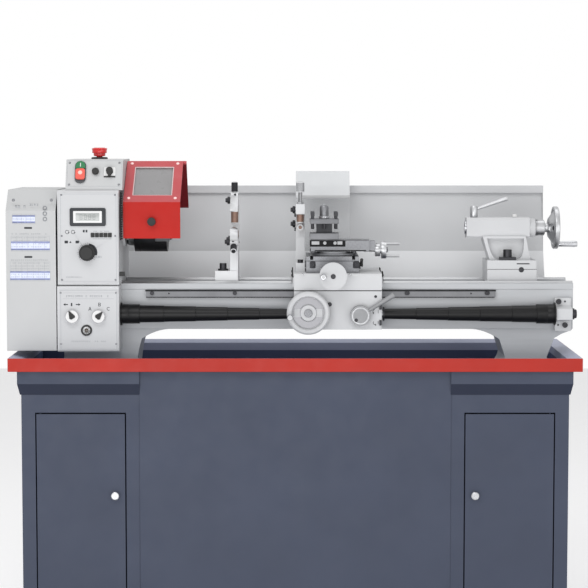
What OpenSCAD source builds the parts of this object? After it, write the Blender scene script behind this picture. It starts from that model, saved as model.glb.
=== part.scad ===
// Bench lathe on a two-cabinet stand. X runs along the bed, Y away from the operator, Z up.
// The origin lies on the floor, under the middle of the machine.

/* [Stand and tray] */
// Height of the cabinets, up to the underside of the tray
stand_h = 702; // [500:1:900]
// Width of each cabinet
cabinet_w = 300; // [260:1:360]
// Depth of the cabinets
cabinet_d = 440; // [400:1:480]
// Sheet thickness of the cabinets
cabinet_wall = 2; // [1.5:0.5:4]
// How much longer the tray is than the bed
tray_over = 130; // [120:1:260]
// Width of the tray
tray_w = 490; // [480:1:560]
// Depth of the pan below its rim
tray_depth = 52; // [40:1:70]
// Height of the outer band of the tray
band_h = 34; // [20:1:38]
// Sheet thickness of the tray
tray_t = 2; // [1.5:0.5:4]
// Door width
door_w = 224; // [180:1:240]
// Door height
door_h = 520; // [300:1:540]
// Gap round a door
door_gap = 3; // [3:0.5:4]
// Diameter of the anchor holes in the cabinet floors
anchor_d = 14; // [10:0.5:18]

/* [Bed] */
// Height of the bed feet, from the tray to the underside of the rails
foot_h = 112; // [90:1:150]
// Height of the rails
bed_h = 119; // [105:1:140]
// Gap between the left ends of the tray and the bed
bed_in = 125; // [119:1:165]
// Length of the bed
bed_len = 1320; // [1300:1:1400]
// Half of the width over the rails
bed_half = 90; // [86:1:96]
// Width of one rail
rail_w = 40; // [34:1:46]
// Thickness of the web under a rail
rail_web = 18; // [14:1:24]
// Height of the inverted vee ways
vee_h = 6; // [4:0.5:8]
// Pitch of the rack teeth
rack_pitch = 6.28; // [5:0.01:9.42]

/* [Headstock] */
// Height of the spindle above the ways
centre_h = 140; // [136:1:150]
// Distance from the left end of the bed to the right face of the headstock
head_reach = 150; // [145:1:154]
// Length of the headstock
head_len = 156; // [150:1:160]
// Height of the headstock
head_h = 242; // [232:1:250]
// Wall thickness of the castings
cast_wall = 12; // [9:1:15]
// Diameter of the spindle in its bearings
spindle_d = 50; // [44:1:56]
// Bore through the spindle
spindle_bore_d = 26; // [20:1:30]
// Outer diameter of the spindle bearings
bearing_d = 80; // [72:1:90]
// Length of the gear cover
cover_len = 127; // [120:1:135]
// Gap between the tray rim and the gear cover
cover_foot = 11; // [6:1:30]
// Wall of the gear cover
cover_wall = 3; // [2:0.5:4]
// Height of the switch box
switch_h = 78; // [66:1:90]
// Lean of the switch box front
switch_lean = 23; // [15:1:28]

/* [Chuck and guard] */
// Diameter of the chuck
chuck_d = 125; // [115:1:130]
// Length of the chuck body
chuck_len = 85; // [75:1:90]
// Width of a chuck jaw
jaw_w = 13.4; // [11:0.1:16]
// Length of the guard along the bed
guard_len = 146; // [135:1:155]
// Sheet thickness of the guard
guard_t = 3; // [2:0.5:4]

/* [Drive] */
// Diameter of the leadscrew
leadscrew_d = 20; // [16:1:24]
// Depth of the leadscrew axis below the ways
leadscrew_drop = 77; // [72:1:82]
// Distance of the leadscrew axis in front of the centre line
leadscrew_y = 120; // [116:1:123]
// Radius of the spindle pulley
spindle_pulley_r = 40; // [34:1:42]
// Radius of the motor pulley
motor_pulley_r = 20; // [15:1:24]
// Radius of the motor
motor_r = 45; // [38:1:48]

/* [Carriage] */
// Length of the saddle along the bed
saddle_len = 225; // [215:1:235]
// Left end of the saddle at rest
saddle_x0 = -3; // [-8:1:4]
// Front face of the apron
apron_y = 150; // [147:1:153]
// Thickness of the saddle over the ways
saddle_h = 28; // [24:1:32]
// Length of the cross slide
cross_len = 184; // [170:1:190]
// Width of the cross slide
cross_w = 136; // [124:1:137]
// Radius of the carriage handwheel
carriage_wheel_r = 55; // [50:1:58]
// Length of the top slide
top_slide_len = 152; // [140:1:156]
// Side of the tool post
tool_post_w = 75; // [66:1:80]

/* [Tailstock] */
// Left face of the tailstock body at rest
tail_x0 = 449; // [440:1:460]
// Length of the tailstock body
tail_len = 181; // [175:1:190]
// Diameter of the quill
quill_d = 35; // [30:1:38]
// Radius of the tailstock handwheel
tail_wheel_r = 56; // [50:1:60]

/* [Fits] */
// Radial clearance of a shaft in its bore
fit = 0.05; // [0.03:0.01:0.08]
// Gap between parts that slide or swing past each other
gap = 0.4; // [0.35:0.05:0.6]

/* [Hidden] */
$fn = 48;

// Tray and stand
tray_z = stand_h + tray_t;
rim_z = tray_z + tray_depth;
tray_x = (bed_len + tray_over) / 2;
tray_y = tray_w / 2;
pan_x = tray_x - 30;
pan_y = tray_y - 23;
band_z = rim_z - band_h;
cabinet_x = pan_x - 1;
cabinet_y1 = -tray_y + 20;
cabinet_y2 = cabinet_y1 + cabinet_d;
skirt_x = tray_x - 22;
skirt_y = tray_y - 10;
skirt_slope_z = band_z - 32;
skirt_end_z = band_z - 60;
skirt_t = 2;
door_z = 92;
door_in = 38;
door_depth = 16;
hinge_in = 9;
hinge_pin_r = 3;
inner_plate = 3;
panel_in = 12;
panel_z = 60;

// Bed
bed_z = tray_z + foot_h;
ways_z = bed_z + bed_h;
bed_x0 = bed_in - tray_x;
bed_x1 = bed_x0 + bed_len;
lip_out = 2;
lip_h = 15;
vee_front = -(bed_half - 14);
vee_rear = bed_half - rail_w + 6;
vee_half = vee_h;
bay_pitch = 180;
bay_web = 12;
rack_x0 = bed_x0 + 214;
rack_x1 = bed_x1 - 198.5;
rack_top = ways_z - 17;
rack_h = 21;
rack_t = 8;
tooth_h = rack_pitch / 2;

// Headstock
axis_z = ways_z + centre_h;
head_x1 = bed_x0 + head_reach;
head_x0 = head_x1 - head_len;
head_y1 = -160;
head_y2 = 145;
head_top = ways_z + head_h;
panel_t = 2;
bearing_w = 18;
cover_gap = 4;
cover_x1 = head_x0 - cover_gap;
cover_x0 = cover_x1 - cover_len;
cover_y1 = -165;
cover_y2 = 150;
cover_top = head_top + 1;
cover_z = rim_z + cover_foot;
bar_hole_r = 22;
cover_lean = 50;
cover_hinge_y = cover_y2 + 8;
cover_hinge_x = cover_x1 + 3;
box_x0 = head_x0 + 20;
box_x1 = head_x1 + 9;
box_y1 = -150;
box_y2 = 80;
box_z = head_top;
box_rim = 7;
gearbox_y = -167 + panel_t;
gearbox_top = ways_z - 2;
gearbox_z = ways_z - 171;
gearbox_x0 = head_x0 - 2;
knob_x = head_x0 + 76;
knob_z = ways_z + 83;
feed_knobs = [gearbox_x0 + 39, gearbox_x0 + 106];
sight_x = gearbox_x0 + 75;
sight_z = gearbox_z + 56;
button_u = box_x0 + 37.5;
start_v = 57;
stop_v = 36;
button_r = 10;
jog_u = box_x0 + 76;
jog_v = 42;
turn_u = box_x0 + 112;
turn_v = 43;
halt_x = box_x0 + 77;
halt_y = -40;
splash_y = tray_y - 103;
splash_x1 = pan_x - 19;
splash_t = 2;

// Spindle and chuck
flange_r = 47;
flange_x0 = head_x1 + 14;
flange_t = 16;
spindle_x0 = head_x0 - 66;
spindle_nose_r = 20;
chuck_x0 = flange_x0 + flange_t;
chuck_x1 = chuck_x0 + chuck_len;
chuck_r = chuck_d / 2;
chuck_bore_r = 17;
slot_depth = 30;
slot_w = jaw_w + 2 * gap;
jaw_out = 22;
jaw_in_r = 18;
guard_x0 = box_x1 + 1.5;
guard_x1 = guard_x0 + guard_len;
guard_front_y = -150;
guard_bottom_z = axis_z - 21;
guard_break_z = axis_z + 72;
guard_ridge_y = -5;
guard_ridge_z = axis_z + 175;
guard_back_y = 90;
guard_back_z = axis_z + 49;
guard_back_x1 = guard_x1 + 9;
guard_pivot_y = 105;
guard_pivot_z = axis_z + 120;
guard_pin_r = 6;

// Drive train
screw_z = ways_z - leadscrew_drop;
screw_y = -leadscrew_y;
screw_r = leadscrew_d / 2;
belt_x = head_x0 - 56;
belt_w = 18;
gear_w = 12;
gear_x = head_x0 - 26;
spindle_gear_r = 30;
screw_gear_r = 36;
axis_gap = norm([screw_y, screw_z - axis_z]);
idler_r = (axis_gap - spindle_gear_r - screw_gear_r - 4 * gap) / 2;
idler_share = (spindle_gear_r + idler_r + 2 * gap) / axis_gap;
idler_y = screw_y * idler_share;
idler_z = axis_z + (screw_z - axis_z) * idler_share;
motor_y = 84;
motor_z = axis_z - 75;
motor_len = 116;
bracket_x0 = bed_x1 - 49;
bracket_x1 = bed_x1 - 7;

// Carriage
saddle_x1 = saddle_x0 + saddle_len;
saddle_z = ways_z + gap;
saddle_top = ways_z + saddle_h;
saddle_front = -apron_y;
saddle_back = bed_half + 32;
apron_z = ways_z - 115;
apron_top = ways_z - 15;
cross_x = saddle_x0 + 99.5;
dovetail_h = 12;
dovetail_w = 62;
dovetail_lean = 5;
cross_y1 = -112;
cross_y2 = cross_y1 + cross_len;
cross_top = ways_z + 70;
cross_axis_x = saddle_x0 + 99;
cross_axis_z = ways_z + 26;
cross_dial_r = 38;
cross_crank_r = 35;
wheel_x = saddle_x0 + 36.6;
wheel_z = ways_z - 70.4;
lever_x = saddle_x0 + 169.7;
lever_z = ways_z - 78;
lever_r = 26;
compound_x = cross_x + 3.5;
post_x = cross_x - 20.5;
compound_y = -20;
compound_r = 62;
compound_top = cross_top + 10;
top_x0 = post_x - 35;
top_x1 = top_x0 + top_slide_len;
top_y1 = compound_y - 32;
top_y2 = compound_y + 32;
top_z = ways_z + 110;
feed_axis_z = ways_z + 82.6;
post_z = top_z + 1;
post_mid = 16;
post_gap_h = 25;
post_cap = 12;

// Rests
follow_x = saddle_x0 + 16.5;
follow_t = 23;
steady_x = chuck_x1 + 176;
steady_t = 20;
steady_r = 84;
ring_bore_r = 60;
rest_knob_z = axis_z + 93;

// Tailstock
tail_x1 = tail_x0 + tail_len;
tail_r = 27;
tail_split_z = ways_z + 34;
tail_base_x0 = tail_x0 + 51;
tail_y1 = -60;
tail_y2 = 72;
quill_r = quill_d / 2;

// 2-D outline in the Y-Z plane, run along X
module along_x(x0, x1) {
    translate([x0, 0, 0]) rotate([90, 0, 90]) linear_extrude(x1 - x0) children();
}

// 2-D outline in the X-Z plane, run along Y
module along_y(y0, y1) {
    translate([0, y1, 0]) rotate([90, 0, 0]) linear_extrude(y1 - y0) children();
}

// Round bar along X between two places
module bar_x(x0, x1, r, y = 0, z = 0) {
    translate([x0, y, z]) rotate([0, 90, 0]) cylinder(h = x1 - x0, r = r);
}

// Round bar along Y between two places
module bar_y(y0, y1, r, x = 0, z = 0) {
    translate([x, y1, z]) rotate([90, 0, 0]) cylinder(h = y1 - y0, r = r);
}

// Round bar along Z between two places
module bar_z(z0, z1, r, x = 0, y = 0) {
    translate([x, y, z0]) cylinder(h = z1 - z0, r = r);
}

// Box between two corners
module block(a, b) {
    translate(a) cube(b - a);
}

// Rectangle between two corners with cut corners
module cut_rect(a, b, c) {
    polygon([[a.x + c, a.y], [b.x - c, a.y], [b.x, a.y + c], [b.x, b.y - c],
        [b.x - c, b.y], [a.x + c, b.y], [a.x, b.y - c], [a.x, a.y + c]]);
}

// Points of a smooth curve from a to c that leans on b
function curve(a, b, c, n = 6) =
    [for (i = [0:n]) let (t = i / n) (1 - t) * (1 - t) * a + 2 * t * (1 - t) * b + t * t * c];

// Turning rod that starts at p and leans by two angles
module rod(p, tilt, turn, len, r0, r1) {
    translate(p) rotate([0, 0, turn]) rotate([0, tilt, 0]) cylinder(h = len, r1 = r0, r2 = r1);
}

// ---- Stand ----

module cabinet(side) {
    x0 = side < 0 ? -cabinet_x : cabinet_x - cabinet_w;
    x1 = x0 + cabinet_w;
    door_x0 = side < 0 ? x0 + door_in : x1 - door_in - door_w;
    y1 = cabinet_y1;
    w = cabinet_wall;
    color("slategray") difference() {
        union() {
            difference() {
                block([x0, y1, 0], [x1, cabinet_y2, stand_h]);
                block([x0 + w, y1 + w, w + inner_plate], [x1 - w, cabinet_y2 - w, stand_h - w]);
            }
            for (z = [door_z - door_gap - 12, door_z + door_h + door_gap])
                block([door_hinge_x(side) - 12, y1 + w - 1, z], [door_hinge_x(side) + 12, y1 + 24, z + 12]);
        }
        block([door_x0 - door_gap, y1 - 1, door_z - door_gap],
            [door_x0 + door_w + door_gap, y1 + w, door_z + door_h + door_gap]);
        bar_z(door_z - door_gap - 13, door_z + door_h + door_gap + 13, hinge_pin_r + fit,
            door_hinge_x(side), y1 + hinge_in);
        for (x = [x0 + 30, x1 - 30], y = [y1 + 60, cabinet_y2 - 30])
            bar_z(-1, w + inner_plate + 1, anchor_d / 2, x, y);
    }
}

function door_hinge_x(side) =
    side < 0 ? -cabinet_x + door_in + hinge_in : cabinet_x - door_in - hinge_in;

module door(side) {
    x0 = side < 0 ? -cabinet_x + door_in : cabinet_x - door_in - door_w;
    knob_x = side < 0 ? x0 + door_w - 25 : x0 + 25;
    y1 = cabinet_y1;
    color("slategray") difference() {
        union() {
            block([x0, y1, door_z], [x0 + door_w, y1 + door_depth, door_z + door_h]);
            bar_z(door_z - door_gap - 10, door_z + door_h + door_gap + 10, hinge_pin_r,
                door_hinge_x(side), y1 + hinge_in);
            bar_y(y1 - 12, y1 + 1, 9, knob_x, door_z + door_h * 0.6);
        }
        block([x0 + 18, y1 + cabinet_wall, door_z + 2],
            [x0 + door_w - 18, y1 + door_depth + 1, door_z + door_h - 2]);
    }
}

module left_cabinet() { cabinet(-1); }
module right_cabinet() { cabinet(1); }
module left_door() { door(-1); }
module right_door() { door(1); }

// Flared skirt under the tray, with the recessed panels between the cabinets
module stand_panels() {
    inner_x = cabinet_x - cabinet_w;
    cx = cabinet_x;
    t = skirt_t;
    front = cabinet_y1 - t;
    back = cabinet_y2 - 3;
    color("slategray") {
        difference() {
            union() {
                block([-skirt_x, -skirt_y, skirt_slope_z], [skirt_x, skirt_y, band_z]);
                flare();
            }
            block([-cx, cabinet_y1, skirt_end_z - 1], [cx, cabinet_y2, stand_h]);
            block([-skirt_x + t, -skirt_y + t, skirt_slope_z + 1], [skirt_x - t, skirt_y - t, band_z + 1]);
            block([-inner_x, -skirt_y - 1, skirt_end_z - 1], [inner_x, cabinet_y1, band_z + 1]);
        }
        block([-inner_x - 1, front, panel_z], [inner_x + 1, cabinet_y1, band_z]);
        block([-inner_x, back - t, panel_z], [inner_x, back, stand_h]);
        block([-inner_x, front, panel_z], [inner_x, back, panel_z + t]);
    }
}

// Sloping lower part of the skirt
module flare() {
    intersection() {
        along_x(-skirt_x, skirt_x) polygon([[-skirt_y, skirt_slope_z], [cabinet_y1 - 2, skirt_end_z],
            [cabinet_y2 + 2, skirt_end_z], [skirt_y, skirt_slope_z]]);
        along_y(-skirt_y, skirt_y) polygon([[-skirt_x, skirt_slope_z], [-cabinet_x - 3, skirt_end_z],
            [cabinet_x + 3, skirt_end_z], [skirt_x, skirt_slope_z]]);
    }
}

// Folded tray: outer band, sloping lip, upright wall and floor
module chip_tray() {
    t = tray_t;
    slope = 8;
    color("firebrick") difference() {
        union() {
            block([-tray_x, -tray_y, band_z], [tray_x, tray_y, rim_z]);
            block([-pan_x - t, -pan_y - t, stand_h], [pan_x + t, pan_y + t, band_z + 1]);
        }
        block([-pan_x, -pan_y, tray_z], [pan_x, pan_y, rim_z + 1]);
        lip_cut(slope);
        difference() {
            block([-tray_x + t, -tray_y + t, band_z - 1], [tray_x - t, tray_y - t, rim_z - slope - t - 2]);
            block([-pan_x - t, -pan_y - t, band_z - 2], [pan_x + t, pan_y + t, rim_z]);
        }
    }
}

// Wedge taken off the top of the tray so that its lip falls inwards
module lip_cut(slope) {
    t = tray_t;
    intersection() {
        along_x(-tray_x, tray_x) polygon([[-tray_y + t, rim_z], [-pan_y, rim_z - slope],
            [pan_y, rim_z - slope], [tray_y - t, rim_z], [tray_y - t, rim_z + 1], [-tray_y + t, rim_z + 1]]);
        along_y(-tray_y, tray_y) polygon([[-tray_x + t, rim_z], [-pan_x, rim_z - slope],
            [pan_x, rim_z - slope], [tray_x - t, rim_z], [tray_x - t, rim_z + 1], [-tray_x + t, rim_z + 1]]);
    }
}

// ---- Bed ----

// Section of the two rails, with a vee way on each
module rail_section() {
    h = bed_half;
    web = rail_web;
    polygon([[-h, bed_z], [-h + web, bed_z], [-h + web, ways_z - 30], [-h + rail_w, ways_z - 22],
        [-h + rail_w, ways_z], [vee_front + vee_half, ways_z], [vee_front, ways_z + vee_h],
        [vee_front - vee_half, ways_z], [-h - lip_out, ways_z], [-h - lip_out, ways_z - lip_h],
        [-h, ways_z - lip_h - lip_out]]);
    polygon([[h - web, bed_z], [h, bed_z], [h, ways_z], [vee_rear + vee_half, ways_z], [vee_rear,
        ways_z + vee_h],
        [vee_rear - vee_half, ways_z], [h - rail_w, ways_z], [h - rail_w, ways_z - 22], [h - web,
            ways_z - 30]]);
}

// Outline of the foot under the headstock, from the left end of the bed
module left_foot() {
    z0 = tray_z;
    zb = bed_z + 8;
    translate([bed_x0, 0]) polygon(concat([[0, z0], [0, zb], [285, zb], [273, bed_z]],
        curve([273, bed_z], [235, bed_z - 3], [203, bed_z - 25]),
        curve([203, bed_z - 25], [190, bed_z - 60], [188, z0])));
}

// Outline of the waisted foot at the other end, from the right end of the bed
module right_foot() {
    z0 = tray_z;
    zb = bed_z + 8;
    translate([bed_x1, 0]) polygon(concat(curve([-262, bed_z], [-225, bed_z - 3], [-190, bed_z - 27]),
        curve([-175, bed_z - 73], [-178, z0 + 12], [-208, z0]),
        curve([-32, z0], [-62, z0 + 12], [-66, bed_z - 73]),
        [[-47, bed_z - 24], [-28, bed_z - 13], [-2, bed_z - 3], [-2, zb], [-262, zb]]));
}

// Room inside a foot, open to the tray
module foot_hollow(x0, x1) {
    wall = 22;
    block([x0, -bed_half + wall, tray_z - 1], [x1, bed_half - wall, bed_z - 20]);
}

module bed() {
    color("lightgray") {
        difference() {
            union() {
                along_x(bed_x0, bed_x1) rail_section();
                along_y(-bed_half + 2, bed_half - 2) left_foot();
                along_y(-bed_half + 2, bed_half - 2) right_foot();
                for (x = concat([for (i = [0:6]) bed_x0 + i * bay_pitch], [bed_x1 - bay_web]))
                    block([x, -bed_half + 6, bed_z], [x + bay_web, bed_half - 6, ways_z - 12]);
            }
            foot_hollow(bed_x0 + 20, bed_x0 + 160);
            foot_hollow(bed_x1 - 154, bed_x1 - 88);
        }
    }
}

// Toothed rack, teeth down
module feed_rack() {
    count = floor((rack_x1 - rack_x0) / rack_pitch);
    z1 = rack_top - rack_h + tooth_h;
    z0 = rack_top - rack_h;
    p = rack_pitch;
    color("gray") along_y(-bed_half - rack_t, -bed_half) polygon(concat(
        [[rack_x0 + count * p, z1], [rack_x0 + count * p, rack_top], [rack_x0, rack_top], [rack_x0, z1]],
        [for (i = [0:count - 1], q = [[0.15, 0], [0.35, 1], [0.65, 1], [0.85, 0]])
            [rack_x0 + (i + q[0]) * p, z1 - q[1] * tooth_h]]));
}

// Folded sheet behind the bed, with a foot, two bends and a hem
module splash_guard() {
    t = splash_t;
    y = splash_y;
    flange_z = bed_z + 40;
    low = ways_z - 12;
    high = ways_z + 225;
    color("lightgray") along_x(head_x1, splash_x1) polygon([[bed_half, flange_z],
        [bed_half, flange_z + t], [y, flange_z + t], [y, low], [y + 38, ways_z + 69], [y + 63, high],
        [y + 51, high + 1], [y + 51, high + 21], [y + 65 + t, high + 21], [y + 63 + t, high],
        [y + 38 + t, ways_z + 69], [y + t, low], [y + t, flange_z]]);
}

// ---- Headstock and what sits on it ----

module headstock() {
    w = cast_wall;
    x0 = head_x0;
    x1 = head_x1;
    color("gainsboro") difference() {
        union() {
            difference() {
                along_x(x0, x1) cut_rect([head_y1, ways_z], [head_y2, head_top], 3);
                block([x0 + w, head_y1 + w, ways_z + w], [x1 - w, head_y2 - w, head_top - w]);
                block([x0 - 1, head_y1 + 20, ways_z - 1], [x1 + 1, head_y1 + 66, ways_z + 9]);
            }
            bar_x(x0 + 1, x0 + bearing_w + 6, bearing_d / 2 + 10, 0, axis_z);
            bar_x(x1 - bearing_w - 6, x1 + 6, bearing_d / 2 + 10, 0, axis_z);
            bar_x(gear_x - 2, x0 + 1, 8, idler_y, idler_z);
            bar_x(gear_x - 6, gear_x - 2, 6, idler_y, idler_z);
            cover_lugs();
        }
        bar_x(x0 - 1, x0 + bearing_w, bearing_d / 2 + fit, 0, axis_z);
        bar_x(x1 + 6 - bearing_w, x1 + 7, bearing_d / 2 + fit, 0, axis_z);
        bar_x(x0 - 2, x1 + 8, spindle_d / 2 + 4, 0, axis_z);
        bar_x(x0 - 1, x0 + w + 1, 10, motor_y, motor_z);
        bar_y(head_y1 - 1, head_y1 + w + 1, 4 + fit, knob_x, knob_z);
        along_x(x0 - 1, x1 + 1) vee_room();
    }
    color("gainsboro") guard_bracket();
}

// Room for both vee ways under a casting
module vee_room() {
    for (y = [vee_front, vee_rear])
        polygon([[y - vee_half - 2, ways_z - 1], [y - vee_half - 2, ways_z + 0.1], [y - 2,
            ways_z + vee_h + 2],
            [y + 2, ways_z + vee_h + 2], [y + vee_half + 2, ways_z + 0.1], [y + vee_half + 2, ways_z - 1]]);
}

// Lugs and pin that carry the gear cover
module cover_lugs() {
    hx = cover_hinge_x;
    for (z = [ways_z + 30, ways_z + 170]) {
        block([head_x0 + 4, head_y2 - 1, z], [head_x0 + 16, cover_hinge_y + 6, z + 16]);
        block([hx - 5, cover_y2 + 1.5, z], [head_x0 + 16, cover_hinge_y + 6, z + 16]);
        bar_z(z + 1, z + 46, 4, hx, cover_hinge_y);
    }
}

// Bracket and pin that carry the chuck guard
module guard_bracket() {
    x0 = head_x1;
    block([x0, 85, head_top - 30], [x0 + 6, 122, guard_pivot_z + 10]);
    bar_x(x0 + 6, guard_x0 + guard_t + 6, guard_pin_r, guard_pivot_y, guard_pivot_z);
    bar_x(x0 + 6, guard_x0 - gap, guard_pin_r + 5, guard_pivot_y, guard_pivot_z);
}

module spindle_bearings() {
    color("silver") for (x = [head_x0, head_x1 + 6 - bearing_w])
        difference() {
            bar_x(x, x + bearing_w, bearing_d / 2, 0, axis_z);
            bar_x(x - 1, x + bearing_w + 1, spindle_d / 2 + fit, 0, axis_z);
        }
}

// Front plate with the speed display
module control_panel() {
    y0 = head_y1;
    color("white") difference() {
        union() {
            along_y(y0 - panel_t, y0) cut_rect([head_x0 + 4, ways_z + 6], [head_x1 - 2, head_top - 5], 2);
            along_y(y0 - panel_t - 2, y0 - panel_t) difference() {
                cut_rect([head_x0 + 31, axis_z + 9], [head_x0 + 125, axis_z + 58], 3);
                cut_rect([head_x0 + 44, axis_z + 20], [head_x0 + 112, axis_z + 47], 1);
            }
            along_y(y0 - panel_t - 1, y0 - panel_t)
                cut_rect([head_x0 + 84, ways_z + 121], [head_x0 + 139, ways_z + 135], 1);
        }
        bar_y(y0 - 5, y0 + 1, 4 + fit, knob_x, knob_z);
    }
}

// Open-backed gearbox under the headstock
module feed_gearbox() {
    w = 8;
    color("gainsboro") difference() {
        along_x(gearbox_x0, head_x1) cut_rect([gearbox_y, gearbox_z], [-bed_half - lip_out, gearbox_top], 3);
        block([gearbox_x0 + w, gearbox_y + w, gearbox_z + w], [head_x1 - w, -bed_half, gearbox_top - w]);
        bar_x(gearbox_x0 - 1, head_x1 + 1, screw_r + fit, screw_y, screw_z);
        for (x = feed_knobs)
            bar_y(gearbox_y - 1, gearbox_y + w + 1, 4 + fit, x, screw_z - 2);
    }
}

module feed_panel() {
    color("white") difference() {
        union() {
            along_y(gearbox_y - panel_t, gearbox_y)
                cut_rect([gearbox_x0 + 6, gearbox_z + 4], [head_x1 - 3, gearbox_top - 8], 2);
            bar_y(gearbox_y - panel_t - 3, gearbox_y - panel_t, 14, sight_x, sight_z);
        }
        for (x = feed_knobs)
            bar_y(gearbox_y - 5, gearbox_y + 1, 4 + fit, x, screw_z - 2);
        bar_y(gearbox_y - 6, gearbox_y - panel_t - 1, 9, sight_x, sight_z);
    }
}

// Places parts on the leaning front of the switch box: u along X, v up the face
module on_switch_face(u, v) {
    translate([u, box_y1, box_z + box_rim]) rotate([90 - switch_lean, 0, 0]) translate([0, v, 0]) children();
}

// Electrical box on top of the headstock
module switch_box() {
    w = 2.5;
    top = box_z + switch_h;
    lean = (switch_h - box_rim) * tan(switch_lean);
    color("gainsboro") difference() {
        union() {
            difference() {
                along_x(box_x0, box_x1) polygon([[box_y1, box_z], [box_y1, box_z + box_rim],
                    [box_y1 + lean, top], [box_y2, top], [box_y2, box_z]]);
                along_x(box_x0 + w, box_x1 - w) polygon([[box_y1 + w + 1, box_z + w],
                    [box_y1 + w + 1, box_z + box_rim],
                    [box_y1 + lean + w + 1, top - w], [box_y2 - w, top - w], [box_y2 - w, box_z + w]]);
            }
            on_switch_face(button_u, (start_v + stop_v) / 2) translate([0, 0, -1])
                linear_extrude(5) cut_rect([-15.5, -37], [15.5, 25], 10);
            on_switch_face(turn_u, turn_v) translate([0, 0, -1])
                linear_extrude(3) cut_rect([-15.5, -12.5], [15.5, 12.5], 1);
            bar_z(top - 1, top + 3, 21, halt_x, halt_y);
        }
        for (v = [start_v, stop_v])
            on_switch_face(button_u, v) translate([0, 0, -6]) cylinder(h = 20, r = button_r + fit);
        on_switch_face(jog_u, jog_v) translate([0, 0, -6]) cylinder(h = 20, r = 5 + fit);
        on_switch_face(turn_u, turn_v) translate([0, 0, -6]) cylinder(h = 20, r = 3 + fit);
        bar_z(top - 6, top + 4, 8 + fit, halt_x, halt_y);
    }
}

module push_button(u, v, r, out, tint) {
    color(tint) on_switch_face(u, v) {
        translate([0, 0, -14]) cylinder(h = 14 + out, r = r);
    }
}

module start_button() { push_button(button_u, start_v, button_r, 7, "green"); }
module stop_button() { push_button(button_u, stop_v, button_r, 7.5, "firebrick"); }

module jog_button() {
    push_button(jog_u, jog_v, 5, 6, "black");
    color("black") on_switch_face(jog_u, jog_v) translate([0, 0, 4.5]) cylinder(h = 5, r = 9);
}

module direction_switch() {
    color("black") on_switch_face(turn_u, turn_v) {
        translate([0, 0, -10]) cylinder(h = 16, r = 3);
        translate([0, 0, 2 + gap]) cylinder(h = 9, r = 9);
        translate([-3, -14, 2 + gap]) cube([6, 14, 12]);
    }
}

module emergency_stop() {
    top = box_z + switch_h;
    color("red") {
        bar_z(top - 10, top + 18, 8, halt_x, halt_y);
        bar_z(top + 16, top + 27, 19, halt_x, halt_y);
        bar_z(top + 27, top + 30, 14, halt_x, halt_y);
    }
}

module knob(x, z, y, r, thick) {
    bar_y(y - thick, y - gap, r, x, z);
    bar_y(y - gap - 1, y + 14, 4, x, z);
}

module speed_knob() {
    y = head_y1 - panel_t;
    color("black") {
        knob(knob_x, knob_z, y, 20, 14);
        bar_y(y - 24, y - 13, 15, knob_x, knob_z);
    }
}

module feed_direction_knob() {
    color("silver") knob(feed_knobs[0], screw_z - 2, gearbox_y - panel_t, 17, 12);
}

module feed_range_knob() {
    color("silver") knob(feed_knobs[1], screw_z - 2, gearbox_y - panel_t, 17, 12);
}

// Hollow cover over the belt and the gears, open towards the headstock
module gear_cover() {
    w = cover_wall;
    hx = cover_hinge_x;
    lean_z = cover_top - 53;
    color("gainsboro") {
        difference() {
            along_x(cover_x0, cover_x1) polygon([[cover_y1, cover_z], [cover_y1, lean_z],
                [cover_y1 + cover_lean, cover_top], [cover_y2, cover_top], [cover_y2, cover_z]]);
            along_x(cover_x0 + w, cover_x1 + 1) polygon([[cover_y1 + w, cover_z + w], [cover_y1 + w,
                lean_z - 1],
                [cover_y1 + cover_lean + 2, cover_top - w], [cover_y2 - w, cover_top - w],
                    [cover_y2 - w, cover_z + w]]);
            bar_x(cover_x0 - 1, cover_x0 + w + 1, bar_hole_r, 0, axis_z);
        }
        for (z = [ways_z + 46 + gap, ways_z + 186 + gap]) difference() {
            union() {
                bar_z(z, z + 30, 7.5, hx, cover_hinge_y);
                block([hx - 12, cover_y2 - 1, z], [hx - 3, cover_hinge_y, z + 30]);
            }
            bar_z(z - 1, z + 31, 4 + fit, hx, cover_hinge_y);
        }
    }
}

// ---- Drive inside the covers ----

module motor() {
    x0 = head_x0 + cast_wall;
    color("dimgray") {
        bar_x(x0, x0 + motor_len, motor_r, motor_y, motor_z);
    }
}

// Flat-faced wheel with notches for teeth
module gear(x, y, z, r, teeth, bore) {
    difference() {
        bar_x(x, x + gear_w, r, y, z);
        for (i = [0:teeth - 1])
            translate([x - 1, y, z]) rotate([360 * i / teeth, 0, 0]) translate([0, r - 3, -r / teeth * 1.5])
                cube([gear_w + 2, 4, r / teeth * 3]);
        bar_x(x - 1, x + gear_w + 1, bore, y, z);
    }
}

module spindle_pulley() {
    color("silver") {
        difference() {
            bar_x(belt_x, belt_x + belt_w + 4, spindle_pulley_r, 0, axis_z);
            bar_x(belt_x - 1, belt_x + belt_w + 5, spindle_nose_r, 0, axis_z);
        }
        gear(gear_x, 0, axis_z, spindle_gear_r, 20, spindle_nose_r);
    }
}

module motor_pulley() {
    color("silver") {
        bar_x(belt_x, belt_x + belt_w + 4, motor_pulley_r, motor_y, motor_z);
        bar_x(belt_x + belt_w + 3, head_x0 + cast_wall - gap, 7, motor_y, motor_z);
    }
}

module idler_gear() {
    color("silver") gear(gear_x, idler_y, idler_z, idler_r, 60, 8 + fit);
}

// Belt round both pulleys
module drive_belt() {
    color("black") along_x(belt_x + 2, belt_x + belt_w) difference() {
        belt_outline(gap + 4);
        belt_outline(gap);
    }
}

module belt_outline(grow) {
    hull() {
        translate([0, axis_z]) circle(r = spindle_pulley_r + grow);
        translate([motor_y, motor_z]) circle(r = motor_pulley_r + grow);
    }
}

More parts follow.
